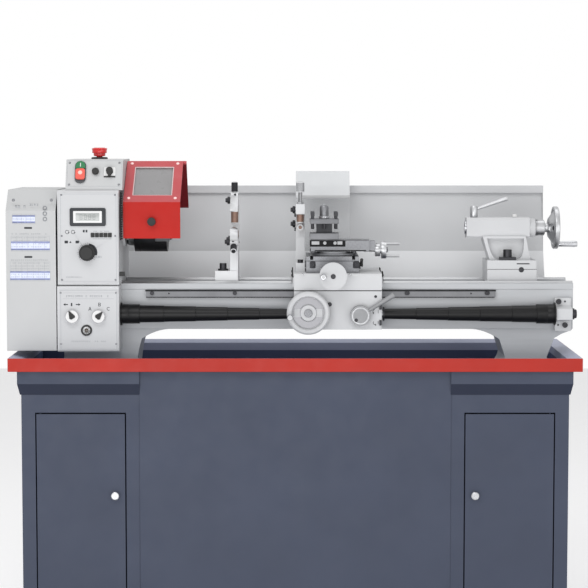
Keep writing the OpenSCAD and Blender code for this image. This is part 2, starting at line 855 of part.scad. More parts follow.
module leadscrew() {
    color("silver") {
        bar_x(gear_x - 6, bracket_x1 + 12, screw_r, screw_y, screw_z);
        gear(gear_x, screw_y, screw_z, screw_gear_r, 24, screw_r - 1);
    }
}

// Telescopic spiral cover: rings that step down from r0 to r1
module spiral_cover(x0, x1, r0, r1, turns) {
    step = (x1 - x0) / turns;
    bore = screw_r + 0.8;
    translate([0, screw_y, screw_z]) rotate([0, 90, 0]) rotate_extrude() polygon(concat(
        [[bore, x0]],
        [for (i = [0:turns - 1], q = [0, 1]) [r0 + (r1 - r0) * i / turns, x0 + (i + q) * step]],
        [[bore, x1]]));
}

module leadscrew_cover_left() {
    color("black") {
        spiral_cover(head_x1 + 1, head_x1 + 52, 25.5, 24.5, 2);
        spiral_cover(head_x1 + 52, saddle_x0 - 4, 21, 14, 12);
    }
}

module leadscrew_cover_right() {
    color("black") {
        spiral_cover(saddle_x1 + 4, bracket_x0 - 43, 14, 20, 12);
        spiral_cover(bracket_x0 - 43, bracket_x0 - 1, 24.5, 25.5, 2);
    }
}

module leadscrew_bracket() {
    x0 = bracket_x0;
    x1 = bracket_x1;
    zt = screw_z + 40;
    color("gainsboro") difference() {
        union() {
            along_x(x0, x1) polygon([[-bed_half, screw_z - 46], [-bed_half, zt], [-bed_half - 16, zt],
                [-bed_half - 16, screw_z + 20], [screw_y - 19, screw_z + 14], [screw_y - 19, screw_z - 14],
                [-bed_half - 16, screw_z - 20], [-bed_half - 16, screw_z - 46]]);
        }
        bar_x(x0 - 1, x1 + 1, screw_r + fit, screw_y, screw_z);
    }
}

// Bolt and screw heads that show on the fixed parts
module machine_screws() {
    y = -bed_half - rack_t;
    rack_z = rack_top - 8;
    color("black") {
        for (x = [rack_x0 + 16, rack_x0 + 230, rack_x1 - 230, rack_x1 - 23]) bar_y(y - 3, y, 5, x, rack_z);
        bar_y(-bed_half - 21, -bed_half - 16, 6, bracket_x0 + 9, screw_z + 31);
        bar_y(-bed_half - 21, -bed_half - 16, 6, bracket_x1 - 16, screw_z - 30);
    }
}

// ---- Spindle, chuck and guard ----

module spindle() {
    color("silver") difference() {
        union() {
            bar_x(spindle_x0, head_x0 - 1, spindle_nose_r, 0, axis_z);
            bar_x(head_x0 - 1, flange_x0, spindle_d / 2, 0, axis_z);
            bar_x(flange_x0, chuck_x0, flange_r, 0, axis_z);
        }
        bar_x(spindle_x0 - 1, chuck_x0 + 1, spindle_bore_d / 2, 0, axis_z);
    }
}

module chuck_body() {
    color("dimgray") difference() {
        bar_x(chuck_x0, chuck_x1, chuck_r, 0, axis_z);
        bar_x(chuck_x0 - 1, chuck_x1 + 1, chuck_bore_r, 0, axis_z);
        for (a = [0, 120, 240]) translate([chuck_x1 - slot_depth, 0, axis_z]) rotate([a, 0, 0])
            translate([0, -slot_w / 2, 0]) cube([slot_depth + 1, slot_w, chuck_r + 1]);
        for (a = [60, 180, 300]) translate([chuck_x0 + 30, 0, axis_z]) rotate([a, 0, 0])
            translate([0, 0, chuck_r - 14]) cylinder(h = 15, r = 5);
    }
}

module chuck_jaw(turn) {
    w = jaw_w;
    x0 = chuck_x1 - slot_depth + gap;
    top = chuck_r - 5;
    color("lightgray") translate([0, 0, axis_z]) rotate([turn, 0, 0]) along_y(-w / 2, w / 2) polygon([
        [x0, jaw_in_r], [chuck_x1 + jaw_out, jaw_in_r], [chuck_x1 + jaw_out, jaw_in_r + 13],
        [chuck_x1 + jaw_out * 2 / 3, jaw_in_r + 13], [chuck_x1 + jaw_out * 2 / 3, jaw_in_r + 26],
        [chuck_x1 + jaw_out / 3, jaw_in_r + 26], [chuck_x1 + jaw_out / 3, top], [x0, top]]);
}

module chuck_jaw_1() { chuck_jaw(0); }
module chuck_jaw_2() { chuck_jaw(120); }
module chuck_jaw_3() { chuck_jaw(240); }

// Folded sheet guard with a window in its slope
module chuck_guard() {
    t = guard_t;
    fy = guard_front_y;
    w0 = 0.16;
    w1 = 0.86;
    slope = [guard_ridge_y - fy, guard_ridge_z - guard_break_z];
    lean = atan2(slope.y, slope.x);
    color("red") {
        difference() {
            union() {
                along_x(guard_x0, guard_x1) polygon([[fy, guard_bottom_z], [fy, guard_break_z],
                    [guard_ridge_y, guard_ridge_z], [guard_ridge_y + 4, guard_ridge_z - t - 2],
                    [guard_ridge_y, guard_ridge_z - t - 3], [fy + t, guard_break_z - 2], [fy + t,
                        guard_bottom_z]]);
                along_x(guard_x0, guard_back_x1) polygon([[guard_ridge_y, guard_ridge_z],
                    [guard_back_y, guard_back_z], [guard_back_y - t - 1, guard_back_z],
                    [guard_ridge_y - 1, guard_ridge_z - t - 3]]);
            }
            translate([0, fy, guard_break_z]) rotate([lean, 0, 0])
                block([guard_x0 + 22, norm(slope) * w0, -12], [guard_x1 - 22, norm(slope) * w1, 12]);
        }
        bar_y(fy - 14, fy, 7, (guard_x0 + guard_x1) / 2, axis_z + 22);
        difference() {
            along_x(guard_x0, guard_x0 + t) polygon([[guard_ridge_y, guard_ridge_z - 3],
                [guard_pivot_y + 8, guard_pivot_z + 10], [guard_pivot_y + 11, guard_pivot_z],
                [guard_pivot_y + 6, guard_pivot_z - 10], [guard_ridge_y + 50, guard_pivot_z - 22]]);
            bar_x(guard_x0 - 1, guard_x0 + t + 1, guard_pin_r + fit, guard_pivot_y, guard_pivot_z);
        }
    }
}

// Clear pane behind the opening of the guard
module guard_window() {
    fy = guard_front_y;
    slope = [guard_ridge_y - fy, guard_ridge_z - guard_break_z];
    lean = atan2(slope.y, slope.x);
    color("lightblue") translate([0, fy, guard_break_z]) rotate([lean, 0, 0])
        block([guard_x0 + 12, norm(slope) * 0.12, -8], [guard_x1 - 12, norm(slope) * 0.9, -5]);
}

// ---- Carriage ----

module saddle() {
    x0 = saddle_x0;
    x1 = saddle_x1;
    yl = -bed_half - lip_out - gap;
    dial_y = saddle_front - 16;
    color("gainsboro") difference() {
        union() {
            along_x(x0, x1) polygon([[saddle_front, apron_top], [saddle_front, saddle_top - 4],
                [saddle_front + 4, saddle_top], [saddle_back, saddle_top], [saddle_back, saddle_z],
                [yl, saddle_z], [yl, apron_top]]);
            along_y(saddle_front + 4,
                saddle_back) polygon([[cross_x - dovetail_w / 2 + dovetail_lean, saddle_top - 1],
                [cross_x - dovetail_w / 2, saddle_top + dovetail_h], [cross_x + dovetail_w / 2,
                    saddle_top + dovetail_h],
                [cross_x + dovetail_w / 2 - dovetail_lean, saddle_top - 1]]);
            bar_y(dial_y, saddle_front + 1, 16, cross_axis_x, cross_axis_z);
            block([x0 + 4, saddle_back - 1, ways_z - 34], [x1 - 4, saddle_back + 10, saddle_top - 4]);
            block([x0 + 4, bed_half + gap, ways_z - 34], [x1 - 4, saddle_back, saddle_z + 1]);
            for (x = [x0 - 4, x1]) block([x, yl - 12, apron_top + 6], [x + 4, -bed_half + 30,
                saddle_z + 16]);
        }
        along_x(x0 - 5, x1 + 5) vee_room();
        block([x0 - 5, yl, apron_top - 1], [x1 + 5, bed_half + gap, saddle_z]);
        bar_y(dial_y - 1, saddle_front + 5, 6 + fit, cross_axis_x, cross_axis_z);
    }
}

module apron() {
    x0 = saddle_x0;
    x1 = saddle_x1;
    y2 = -bed_half - rack_t - 6;
    color("gainsboro") difference() {
        block([x0, saddle_front, apron_z], [x1, y2, apron_top]);
        bar_x(x0 - 1, x1 + 1, screw_r + 2, screw_y, screw_z);
        bar_y(saddle_front - 1, saddle_front + 14, 8 + fit, wheel_x, wheel_z);
        bar_y(saddle_front - 1, saddle_front + 8, 8 + fit, lever_x, lever_z);
    }
}

module carriage_handwheel() {
    y = saddle_front - gap;
    r = carriage_wheel_r;
    color("silver") {
        translate([wheel_x, y, wheel_z]) rotate([90, 0, 0]) rotate_extrude()
            polygon([[0, -12], [8, -12], [8, 0],
            [15, 0], [16, 12], [r - 14, 14], [r - 12, 10], [r - 2, 10], [r, 14], [r, 28], [r - 4,
                32], [r - 11, 32],
            [r - 14, 28], [r - 15, 19], [22, 18], [20, 26], [8, 27], [7, 24], [0, 24]]);
        rod([wheel_x - r + 8.5, y - 31, wheel_z - 8], 90, -90, 44, 5, 6.5);
    }
}

module half_nut_lever() {
    y = saddle_front - gap;
    color("silver") {
        bar_y(y - 20, y, lever_r, lever_x, lever_z);
        bar_y(y - 1, y + 7, 8, lever_x, lever_z);
        translate([lever_x + 18, y - 12, lever_z + 11]) rotate([0, 58, 0]) cylinder(h = 80, r1 = 4, r2 = 7);
    }
}

module cross_slide() {
    z0 = saddle_top + gap;
    w = cross_w / 2;
    dw = dovetail_w / 2 + 1.5 * gap;
    dt = saddle_top + dovetail_h + gap;
    color("darkgray") difference() {
        block([cross_x - w, cross_y1, z0], [cross_x + w, cross_y2, cross_top]);
        along_y(cross_y1 - 1, cross_y2 + 1) polygon([[cross_x - dw + dovetail_lean, z0 - 1],
            [cross_x - dw, dt],
            [cross_x + dw, dt], [cross_x + dw - dovetail_lean, z0 - 1]]);
        for (x = [cross_x - w + 14, cross_x + w - 14])
            block([x - 4, cross_y1 - 1, cross_top - 8], [x + 4, cross_y2 + 1, cross_top + 1]);
        bar_z(cross_top - 10, cross_top + 1, 10 + fit, compound_x, compound_y);
    }
}

module cross_slide_crank() {
    y = saddle_front - 16 - gap;
    z = cross_axis_z;
    color("silver") {
        bar_y(y - 14, y, cross_dial_r - 8, cross_axis_x, z);
        bar_y(y - 1, saddle_front + 3, 6, cross_axis_x, z);
        bar_y(y - 48, y - 14, 14, cross_axis_x, z);
        bar_y(y - 48, y - 34, cross_crank_r, cross_axis_x, z);
        bar_y(y - 72, y - 47, 5, cross_axis_x - 25, z);
    }
}

// Swivel plate that carries the top slide
module compound_base() {
    x = compound_x;
    y = compound_y;
    color("gray") {
        bar_z(cross_top - 9, cross_top + gap + 1, 10, x, y);
        bar_z(cross_top + gap, compound_top - 5, compound_r, x, y);
        bar_z(cross_top + 1, compound_top, compound_r - 17, x, y);
        block([top_x0 + 4, y - 14, compound_top - 1], [top_x0 + 116, y + 14, compound_top + 10]);
        for (s = [-1, 1]) bar_z(compound_top - 6, compound_top - 0.5, 7, x + s * (compound_r - 9), y - 12);
    }
}

module top_slide() {
    y = compound_y;
    z0 = compound_top + gap;
    color("darkgray") difference() {
        union() {
            block([top_x0, top_y1, z0], [top_x1, top_y2, top_z]);
            block([top_x1 - 1, y - 18, z0 + 2], [top_x1 + 16, y + 18, top_z - 3]);
            bar_z(top_z - 1, top_z + 1, 30, post_x, y);
            bar_z(top_z, post_z + 66, 8, post_x, y);
        }
        block([top_x0 - 1, y - 14 - gap, z0 - 1], [top_x1 - 1 + gap, y + 14 + gap, compound_top + 10 + gap]);
        bar_x(top_x1 - 20, top_x1 + 17, 5 + fit, y, feed_axis_z);
    }
}

module top_slide_crank() {
    x = top_x1 + 16 + gap;
    y = compound_y;
    color("silver") {
        bar_x(x, x + 13, 17, y, feed_axis_z);
        bar_x(x - 30, x + 1, 5, y, feed_axis_z);
        bar_x(x + 12, x + 18, 10, y, feed_axis_z);
        bar_x(x + 16, x + 29, 22.6, y, feed_axis_z);
        bar_x(x + 28, x + 64, 3.5, y, feed_axis_z + 16);
        bar_x(x + 28, x + 64, 3.5, y, feed_axis_z - 16);
    }
}

// Four-way tool post with its clamping bolts
module tool_post() {
    x = post_x;
    y = compound_y;
    w = tool_post_w / 2;
    z0 = post_z + gap;
    z1 = z0 + post_mid;
    z2 = z1 + post_gap_h;
    z3 = z2 + post_cap;
    color("dimgray") difference() {
        union() {
            block([x - w, y - w, z0], [x + w, y + w, z1]);
            block([x - w + 17, y - w + 17, z1 - 1], [x + w - 17, y + w - 17, z2 + 1]);
            block([x - w, y - w, z2], [x + w, y + w, z3]);
        }
        bar_z(z0 - 1, z3 + 1, 8 + fit, x, y);
    }
    color("black") for (p = bolt_places(w - 7)) {
        bar_z(z3, z3 + 8, 4, x + p.x, y + p.y);
        translate([x + p.x - 5, y + p.y - 5, z3 + 8]) cube([10, 10, 10]);
        bar_z(z2 - 14, z2, 3.5, x + p.x, y + p.y);
    }
}

// Eight bolts, two on each side of a square
function bolt_places(w) = [for (s = [-1, 1], c = [-1, 1]) [s * w, c * w]];

module tool_post_lever() {
    x = post_x;
    y = compound_y;
    z = post_z + gap + post_mid + post_gap_h + post_cap + gap;
    color("silver") difference() {
        union() {
            bar_z(z, z + 6, 14, x, y);
            bar_z(z + 6, z + 28, 11, x, y);
            translate([x, y, z + 28]) cylinder(h = 6, r1 = 11, r2 = 8);
            rod([x, y + 6, z + 20], 80, 90, 60, 4.5, 6);
        }
        bar_z(z - 1, post_z + 66 + gap, 8 + fit, x, y);
    }
}

// Clear chip shield behind the cross slide, on the back of the saddle
module chip_shield() {
    t = 3;
    y0 = saddle_back + 6;
    z0 = saddle_top - 4;
    fold_z = axis_z + 80;
    shield_z = axis_z + 144;
    color("lightgray") along_x(saddle_x0 + 5, saddle_x0 + 150)
        polygon([[y0 - t, z0], [y0 + 4, z0], [y0 + 4, z0 + t], [y0, z0 + t],
        [y0, fold_z], [y0 + 36, shield_z], [y0 + 33, shield_z + 2], [y0 - t, fold_z + 1]]);
}

// C-shaped rest behind the work, fixed to the saddle
module follow_rest() {
    x0 = follow_x - follow_t / 2;
    x1 = follow_x + follow_t / 2;
    body_top = axis_z + 62;
    color("white") {
        along_x(x0, x1) polygon(concat(
            [[-14, body_top], [-14, axis_z + 36]],
            curve([-14, axis_z + 36], [26, axis_z + 30], [34, axis_z]),
            [[34, axis_z - 30], [24, saddle_top + 26], [-58, saddle_top + 22], [-62, saddle_top]],
            [[60, saddle_top], [64, axis_z - 20], [62, axis_z + 30]],
            curve([62, axis_z + 30], [50, body_top - 6], [14, body_top])));
        bar_z(axis_z + 12, axis_z + 44, 9, follow_x, 0);
        bar_z(body_top - 1, axis_z + 94, 4, follow_x, 0);
        bar_z(rest_knob_z, rest_knob_z + 27, 10, follow_x, 0);
        bar_y(12, 40, 9, follow_x, axis_z);
        for (z = [axis_z + 47, axis_z + 8]) bar_x(x0 - 8, x0 + 1, 7, 6 + (z > axis_z + 20 ? 0 : 44), z);
        bar_z(saddle_top + 21, saddle_top + 30, 7, follow_x, -46);
    }
}

// Ring-shaped rest that stands on the bed
module steady_rest() {
    x0 = steady_x - steady_t / 2;
    x1 = steady_x + steady_t / 2;
    z0 = ways_z + gap;
    foot_top = z0 + 30;
    color("white") {
        difference() {
            union() {
                bar_x(x0, x1, steady_r, 0, axis_z);
                along_x(x0, x1) polygon([[-74, axis_z - 40], [-62, z0], [62, z0], [74, axis_z - 40]]);
                block([x0 - 39, -70, z0], [x1, 60, foot_top]);
                for (a = [0, 118, 242]) translate([steady_x, 0, axis_z]) rotate([a, 0, 0])
                    translate([-10, -10, ring_bore_r + 2]) cube([20, 20, steady_r - ring_bore_r + 6]);
            }
            bar_x(x0 - 1, x1 + 1, ring_bore_r, 0, axis_z);
            along_x(x0 - 60, x1 + 1) vee_room();
            block([x0 - 1, -steady_r - 8, axis_z + 2], [x1 + 1, -ring_bore_r / 2, axis_z + 44]);
        }
        for (a = [0, 118, 242]) translate([steady_x, 0, axis_z]) rotate([a, 0, 0]) {
            translate([0, 0, 11]) cylinder(h = ring_bore_r - 5, r = 9);
            translate([0, 0, steady_r + 7]) cylinder(h = 10, r = 4);
            translate([0, 0, steady_r + 9]) cylinder(h = 27, r = 7.5);
        }
        bar_z(foot_top - 1, foot_top + 4, 13, x0 - 19, -48);
        bar_z(foot_top + 3, foot_top + 18, 8.75, x0 - 19, -48);
    }
}

// ---- Tailstock ----

module tailstock_base() {
    z0 = ways_z + gap;
    color("gainsboro") difference() {
        block([tail_base_x0, tail_y1, z0], [tail_x1, tail_y2, tail_split_z]);
        along_x(tail_base_x0 - 1, tail_x1 + 1) vee_room();
    }
}

module tailstock_body() {
    x0 = tail_x0;
    x1 = tail_x1 - 16;
    xb = tail_base_x0;
    z0 = tail_split_z;
    flange_z = z0 + 23;
    block_z = axis_z - tail_r;
    color("gainsboro") difference() {
        union() {
            along_x(x0, x1) cut_rect([-tail_r, block_z], [tail_r, axis_z + tail_r], 6);
            bar_x(x1 - 1, tail_x1, 24, 0, axis_z);
            along_y(-34, 46) polygon([[xb, z0], [xb + 9, flange_z - 1], [xb - 10, block_z + 6],
                [x1 - 11, block_z + 6], [x1 + 1, flange_z - 1], [x1, z0]]);
            block([xb, tail_y1, z0], [x1 + 14, tail_y2, flange_z]);
        }
        bar_x(x0 - 1, tail_x1 + 1, quill_r + fit, 0, axis_z);
        bar_z(axis_z + 10, axis_z + 40, 6 + fit, x0 + 21, 0);
        along_y(-35, -18) polygon(concat(curve([xb + 2, axis_z - 27], [xb + 12, flange_z + 1], [xb + 32,
            flange_z + 1]),
            curve([x1 - 34, flange_z + 1], [x1 - 14, flange_z + 1], [x1 - 16, axis_z - 27])));
    }
    color("black") {
        block([xb + 33, -58, flange_z - 1], [xb + 75, -36, flange_z + 8]);
        bar_z(flange_z + 7, flange_z + 27, 10.5, xb + 54, -46);
    }
}

module quill() {
    color("silver") difference() {
        bar_x(tail_x0 - 3, tail_x1 - 26, quill_r, 0, axis_z);
        translate([tail_x0 - 4, 0, axis_z]) rotate([0, 90, 0]) cylinder(h = 56, r1 = 9.2, r2 = 7.8);
        bar_x(tail_x0 + 50, tail_x1 - 20, 7, 0, axis_z);
    }
}

module tailstock_handwheel() {
    x = tail_x1 + gap;
    r = tail_wheel_r;
    color("silver") translate([x, 0, axis_z]) {
        rotate([0, 90, 0]) difference() {
            rotate_extrude() polygon([[0, -90], [6, -90], [6, -20], [quill_r - 1, -20],
                [quill_r - 1, 0], [18, 0], [18, 25], [12, 26], [12, 32], [24, 34], [r - 10, 50],
                [r - 9, 47], [r - 2, 47], [r, 49], [r, 58], [r - 2, 60], [r - 9, 60],
                [r - 10, 57], [20, 42], [13, 44], [0, 44]]);
            for (a = [30, 150, 270]) rotate([0, 0, a]) translate([31, 0, 30]) cylinder(h = 30, r = 9);
        }
        bar_x(54, 111.6, 7, 0, -43);
    }
}

module quill_lock_lever() {
    x = tail_x0 + 21;
    z = axis_z + tail_r;
    color("silver") {
        bar_z(z + gap, z + gap + 28, 10, x, 0);
        bar_z(z - 8, z + 1, 6, x, 0);
        rod([x + 4, 0, z + 21], 71, 0, 88, 3.6, 5.5);
    }
}

left_cabinet();
right_cabinet();
stand_panels();
chip_tray();
bed();
feed_rack();
splash_guard();
headstock();
spindle_bearings();
control_panel();
feed_gearbox();
feed_panel();
switch_box();
leadscrew_bracket();
motor();
drive_belt();
machine_screws();
gear_cover();
left_door();
right_door();
chuck_guard();
guard_window();
spindle();
chuck_body();
chuck_jaw_1();
chuck_jaw_2();
chuck_jaw_3();
spindle_pulley();
motor_pulley();
idler_gear();
leadscrew();
leadscrew_cover_left();
leadscrew_cover_right();
emergency_stop();
start_button();
stop_button();
jog_button();
direction_switch();
speed_knob();
feed_direction_knob();
feed_range_knob();
saddle();
apron();
carriage_handwheel();
half_nut_lever();
cross_slide();
cross_slide_crank();
compound_base();
top_slide();
top_slide_crank();
tool_post();
tool_post_lever();
chip_shield();
follow_rest();
steady_rest();
tailstock_base();
tailstock_body();
quill();
tailstock_handwheel();
quill_lock_lever();
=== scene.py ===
"""Looks of a bench lathe on its stand, built around the fixed machine frame.

Lengths in this file are in millimetres; MM turns them into metres where meshes are made.
Each sub-assembly is a class whose fields are its sizes. It finds its place from the boxes of
the frame's own nodes, builds the pieces that the frame doesn't hold, and dresses both.
"""

import logging
import math
import random
from dataclasses import dataclass
from enum import Enum
from typing import Iterable, List, Optional, Sequence, Tuple

import bmesh
import bpy
from mathutils import Matrix, Vector


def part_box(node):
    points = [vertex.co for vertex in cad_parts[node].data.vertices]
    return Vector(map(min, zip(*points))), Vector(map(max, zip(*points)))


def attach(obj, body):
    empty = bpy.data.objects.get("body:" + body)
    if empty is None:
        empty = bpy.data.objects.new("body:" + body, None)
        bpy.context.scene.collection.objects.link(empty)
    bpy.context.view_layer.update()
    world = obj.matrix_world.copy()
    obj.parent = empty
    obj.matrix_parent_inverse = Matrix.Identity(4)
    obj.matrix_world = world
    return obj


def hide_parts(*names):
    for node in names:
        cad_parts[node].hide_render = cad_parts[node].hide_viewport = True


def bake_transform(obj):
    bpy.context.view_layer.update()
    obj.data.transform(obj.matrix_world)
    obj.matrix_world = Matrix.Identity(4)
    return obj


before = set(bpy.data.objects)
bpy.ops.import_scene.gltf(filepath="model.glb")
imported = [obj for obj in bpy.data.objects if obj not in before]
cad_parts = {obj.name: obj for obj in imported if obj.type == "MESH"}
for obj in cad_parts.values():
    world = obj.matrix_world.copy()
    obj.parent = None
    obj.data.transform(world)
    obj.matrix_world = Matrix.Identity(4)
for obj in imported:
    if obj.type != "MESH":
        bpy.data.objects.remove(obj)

MM = 0.001
PRINT = 0.12  # thickness of a printed mark
TINY = 1e-6
SMOOTH_DEG = 35  # edges below this angle are shaded smooth
GUARD_FOLD = 1004  # height of the fold of the back guard
LOG = logging.getLogger("bench_lathe")

Point = Tuple[float, float, float]
Flat = Tuple[float, float]
Colour = Tuple[float, float, float, float]
Socket = bpy.types.NodeSocket

RIGHT, LEFT = Vector((1, 0, 0)), Vector((-1, 0, 0))
FRONT = Vector((0, -1, 0))
UP = Vector((0, 0, 1))
WHITE = (1.0, 1.0, 1.0, 1.0)
BLACK = (0.0, 0.0, 0.0, 1.0)


class Axis(Enum):
    """Main direction of a turned piece or of an outline's depth."""

    X = (1, 0, 0)
    Y = (0, 1, 0)
    Z = (0, 0, 1)


class Grain(Enum):
    """Direction of the machining marks on bare metal."""

    ALONG_X = (1.0, 30.0, 30.0)
    ALONG_Y = (30.0, 1.0, 30.0)
    EVEN = (1.0, 1.0, 1.0)


def linear(red: int, green: int, blue: int) -> Colour:
    """Turns a display colour into the renderer's linear colour.

    Args:
        red: Red from 0 to 255.
        green: Green from 0 to 255.
        blue: Blue from 0 to 255.

    Returns:
        The same colour as linear red, green, blue and an alpha of one.
    """
    channels = []
    for value in (red, green, blue):
        share = value / 255.0
        channels.append(share / 12.92 if share <= 0.04045 else ((share + 0.055) / 1.055) ** 2.4)
    return (channels[0], channels[1], channels[2], 1.0)


def tinted(colour: Sequence[float], factor: float) -> Colour:
    """Returns a linear colour made lighter or darker by a factor, held at one."""
    red, green, blue = (min(1.0, channel * factor) for channel in colour[:3])
    return (red, green, blue, 1.0)


# Finishes


class Surface:
    """Node tree of one material, with the inputs of its shader."""

    def __init__(self, material: bpy.types.Material, grain: Grain) -> None:
        """Finds the shader and adds the object coordinates.

        Args:
            material: Material to work on.
            grain: Direction of its machining marks.
        """
        material.use_nodes = True
        self.tree = material.node_tree
        self.inputs = self.tree.nodes["Principled BSDF"].inputs
        self.grain = grain
        self.place = self.node("ShaderNodeTexCoord").outputs["Object"]

    def node(self, kind: str) -> bpy.types.Node:
        """Adds a node of the given kind."""
        return self.tree.nodes.new(kind)

    def link(self, start: Socket, end: Socket) -> None:
        """Joins an output to an input."""
        self.tree.links.new(start, end)

    def part(self, vector: Socket, axis: str) -> Socket:
        """Splits a vector.

        Args:
            vector: Vector to split.
            axis: Letter of the part's axis.

        Returns:
            That part of the vector.
        """
        split = self.node("ShaderNodeSeparateXYZ")
        self.link(vector, split.inputs["Vector"])
        return split.outputs[axis]

    def noise(self, stretch: float, scale: float, detail: float) -> Socket:
        """Adds noise that follows the grain.

        Args:
            stretch: Share of the grain's stretch that is used, from zero to one.
            scale: Blotches in a metre.
            detail: Levels of finer noise.

        Returns:
            The noise value.
        """
        mapping = self.node("ShaderNodeMapping")
        mapping.inputs["Scale"].default_value = [1.0 + (factor - 1.0) * stretch for factor in self.grain.value]
        self.link(self.place, mapping.inputs["Vector"])
        texture = self.node("ShaderNodeTexNoise")
        texture.inputs["Scale"].default_value = scale
        texture.inputs["Detail"].default_value = detail
        self.link(mapping.outputs["Vector"], texture.inputs["Vector"])
        return texture.outputs["Fac"]

    def ramp(self, value: Socket, low: float, dark: Colour, high: float, light: Colour) -> Socket:
        """Turns a value into a colour.

        Args:
            value: What drives the ramp.
            low: Value up to which the colour is the dark one.
            dark: Linear colour of low values.
            high: Value from which the colour is the light one.
            light: Linear colour of high values.

        Returns:
            The ramp's colour.
        """
        node = self.node("ShaderNodeValToRGB")
        for stop, position, colour in zip(node.color_ramp.elements, (low, high), (dark, light)):
            stop.position = position
            stop.color = colour
        self.link(value, node.inputs["Fac"])
        return node.outputs["Color"]

    def span(self, value: Socket, start: Flat, end: Flat = (0.0, 1.0)) -> Socket:
        """Turns one range of values into another.

        Args:
            value: Value that is turned.
            start: Its lowest and highest value.
            end: What these two turn into.

        Returns:
            The turned value.
        """
        node = self.node("ShaderNodeMapRange")
        for name, number in zip(("From Min", "From Max", "To Min", "To Max"), start + end):
            node.inputs[name].default_value = number
        self.link(value, node.inputs["Value"])
        return node.outputs["Result"]

    def cover(self, share: Socket, colour: Optional[Socket], plain: Colour = WHITE) -> None:
        """Lays a colour over the shader's colour so far.

        Args:
            share: How much of it is covered.
            colour: Socket of the new colour, or nothing for a plain one.
            plain: The plain colour.
        """
        mix = self.node("ShaderNodeMix")
        mix.data_type = "RGBA"
        mix.inputs["B"].default_value = plain
        self.link(share, mix.inputs["Factor"])
        self.link(self.inputs["Base Color"].links[0].from_socket, mix.inputs["A"])
        if colour is not None:
            self.link(colour, mix.inputs["B"])
        self.link(mix.outputs["Result"], self.inputs["Base Color"])


@dataclass(frozen=True)
class Finish:
    """A surface finish with uneven colour, gloss and relief.

    Attributes:
        name: Name of the material.
        colour: Linear colour of the clean surface.
        roughness: Roughness of the clean surface.
        metallic: One for bare metal and zero for paint or plastic.
        spread: How far the colour wanders to either side.
        scale: How many blotches fit in a metre.
        relief: Height of the fine relief in millimetres.
        relief_scale: How many bumps fit in a metre.
        grain: Direction of machining marks.
        coat: Weight of a clear coat.
        dirt: Share of the surface that holds darker marks.
        gleam: Level of the bare reflection of paint and plastic.
    """

    name: str
    colour: Colour
    roughness: float = 0.45
    metallic: float = 0.0
    spread: float = 0.05
    scale: float = 9.0
    relief: float = 0.02
    relief_scale: float = 900.0
    grain: Grain = Grain.EVEN
    coat: float = 0.0
    dirt: float = 0.0
    gleam: float = 0.24

    def material(self) -> bpy.types.Material:
        """Makes the material once and shares it after that.

        Returns:
            The finish as a material.
        """
        known = bpy.data.materials.get(self.name)
        if known is not None:
            return known
        made = bpy.data.materials.new(self.name)
        made.diffuse_color = self.colour
        surface = Surface(made, self.grain)
        for name, value in (("Metallic", self.metallic), ("Coat Weight", self.coat),
                            ("Specular IOR Level", self.gleam), ("Coat Roughness", 0.12)):
            surface.inputs[name].default_value = value
        surface.link(self.uneven(surface, self.colour, 0.4, 0.18), surface.inputs["Base Color"])
        self.marks(surface)
        self.gloss(surface)
        self.fine_relief(surface)
        self.extra(surface)
        return made

    def uneven(self, surface: Surface, colour: Colour, stretch: float, reach: float) -> Socket:
        """Gives a colour its slow variation.

        Args:
            surface: Surface to add to.
            colour: The linear colour in the middle.
            stretch: Share of the grain's stretch that is used.
            reach: How far from the middle of the noise the colour still changes.

        Returns:
            The uneven colour.
        """
        value = surface.noise(stretch, self.scale, 5.0)
        dark, light = tinted(colour, 1.0 - self.spread), tinted(colour, 1.0 + self.spread)
        return surface.ramp(value, 0.5 - reach, dark, 0.5 + reach, light)

    def marks(self, surface: Surface) -> None:
        """Adds the darker marks of a dirty finish.

        Args:
            surface: Surface to add to.
        """
        if self.dirt > 0.0:
            edge = 0.5 + 0.5 * (1.0 - self.dirt)
            mask = surface.ramp(surface.noise(0.4, self.scale * 7.0, 8.0), edge - 0.12, BLACK, edge, WHITE)
            surface.cover(mask, None, tinted(self.colour, 0.55))

    def gloss(self, surface: Surface) -> None:
        """Makes the roughness wander a little.

        Args:
            surface: Surface to add to.
        """
        least, most = max(0.02, self.roughness - 0.07), min(1.0, self.roughness + 0.09)
        value = surface.span(surface.noise(1.0, self.scale * 5.0, 6.0), (0.25, 0.75), (least, most))
        surface.link(value, surface.inputs["Roughness"])

    def fine_relief(self, surface: Surface) -> None:
        """Adds fine relief: orange peel on paint, lines on metal.

        Args:
            surface: Surface to add to.
        """
        bump = surface.node("ShaderNodeBump")
        bump.inputs["Strength"].default_value = 0.35
        bump.inputs["Distance"].default_value = self.relief * MM
        surface.link(surface.noise(1.0, self.relief_scale, 3.0), bump.inputs["Height"])
        surface.link(bump.outputs["Normal"], surface.inputs["Normal"])

    def extra(self, surface: Surface) -> None:
        """Adds what only one kind of finish has."""


@dataclass(frozen=True)
class ZonedPaint(Finish):
    """Paint whose colour changes past given planes of the piece; its zones carry two-tone paint and painted
    light and shade.

    Attributes:
        zones: For each plane its axis, its place in millimetres and the colour beyond it. A
            minus before the axis counts against it.
        under: Colour of painted shade on faces that look down, or nothing.
    """

    zones: Tuple[Tuple[str, float, Colour], ...] = ()
    under: Optional[Colour] = None

    def extra(self, surface: Surface) -> None:
        """Lays the colour of each zone over the colour so far.

        Args:
            surface: Surface to add to.
        """
        for axis, bound, colour in self.zones:
            sign = -1.0 if axis.startswith("-") else 1.0
            share = surface.span(surface.part(surface.place, axis[-1]), (bound * MM, (bound + sign) * MM))
            surface.cover(share, self.uneven(surface, colour, 0.0, 0.2))
        # Painted shade: faces that look down take the darker colour.
        if self.under is not None:
            facing = surface.node("ShaderNodeNewGeometry").outputs["Normal"]
            share = surface.span(surface.part(facing, "Z"), (-0.05, -0.3))
            surface.cover(share, self.uneven(surface, self.under, 0.0, 0.2))


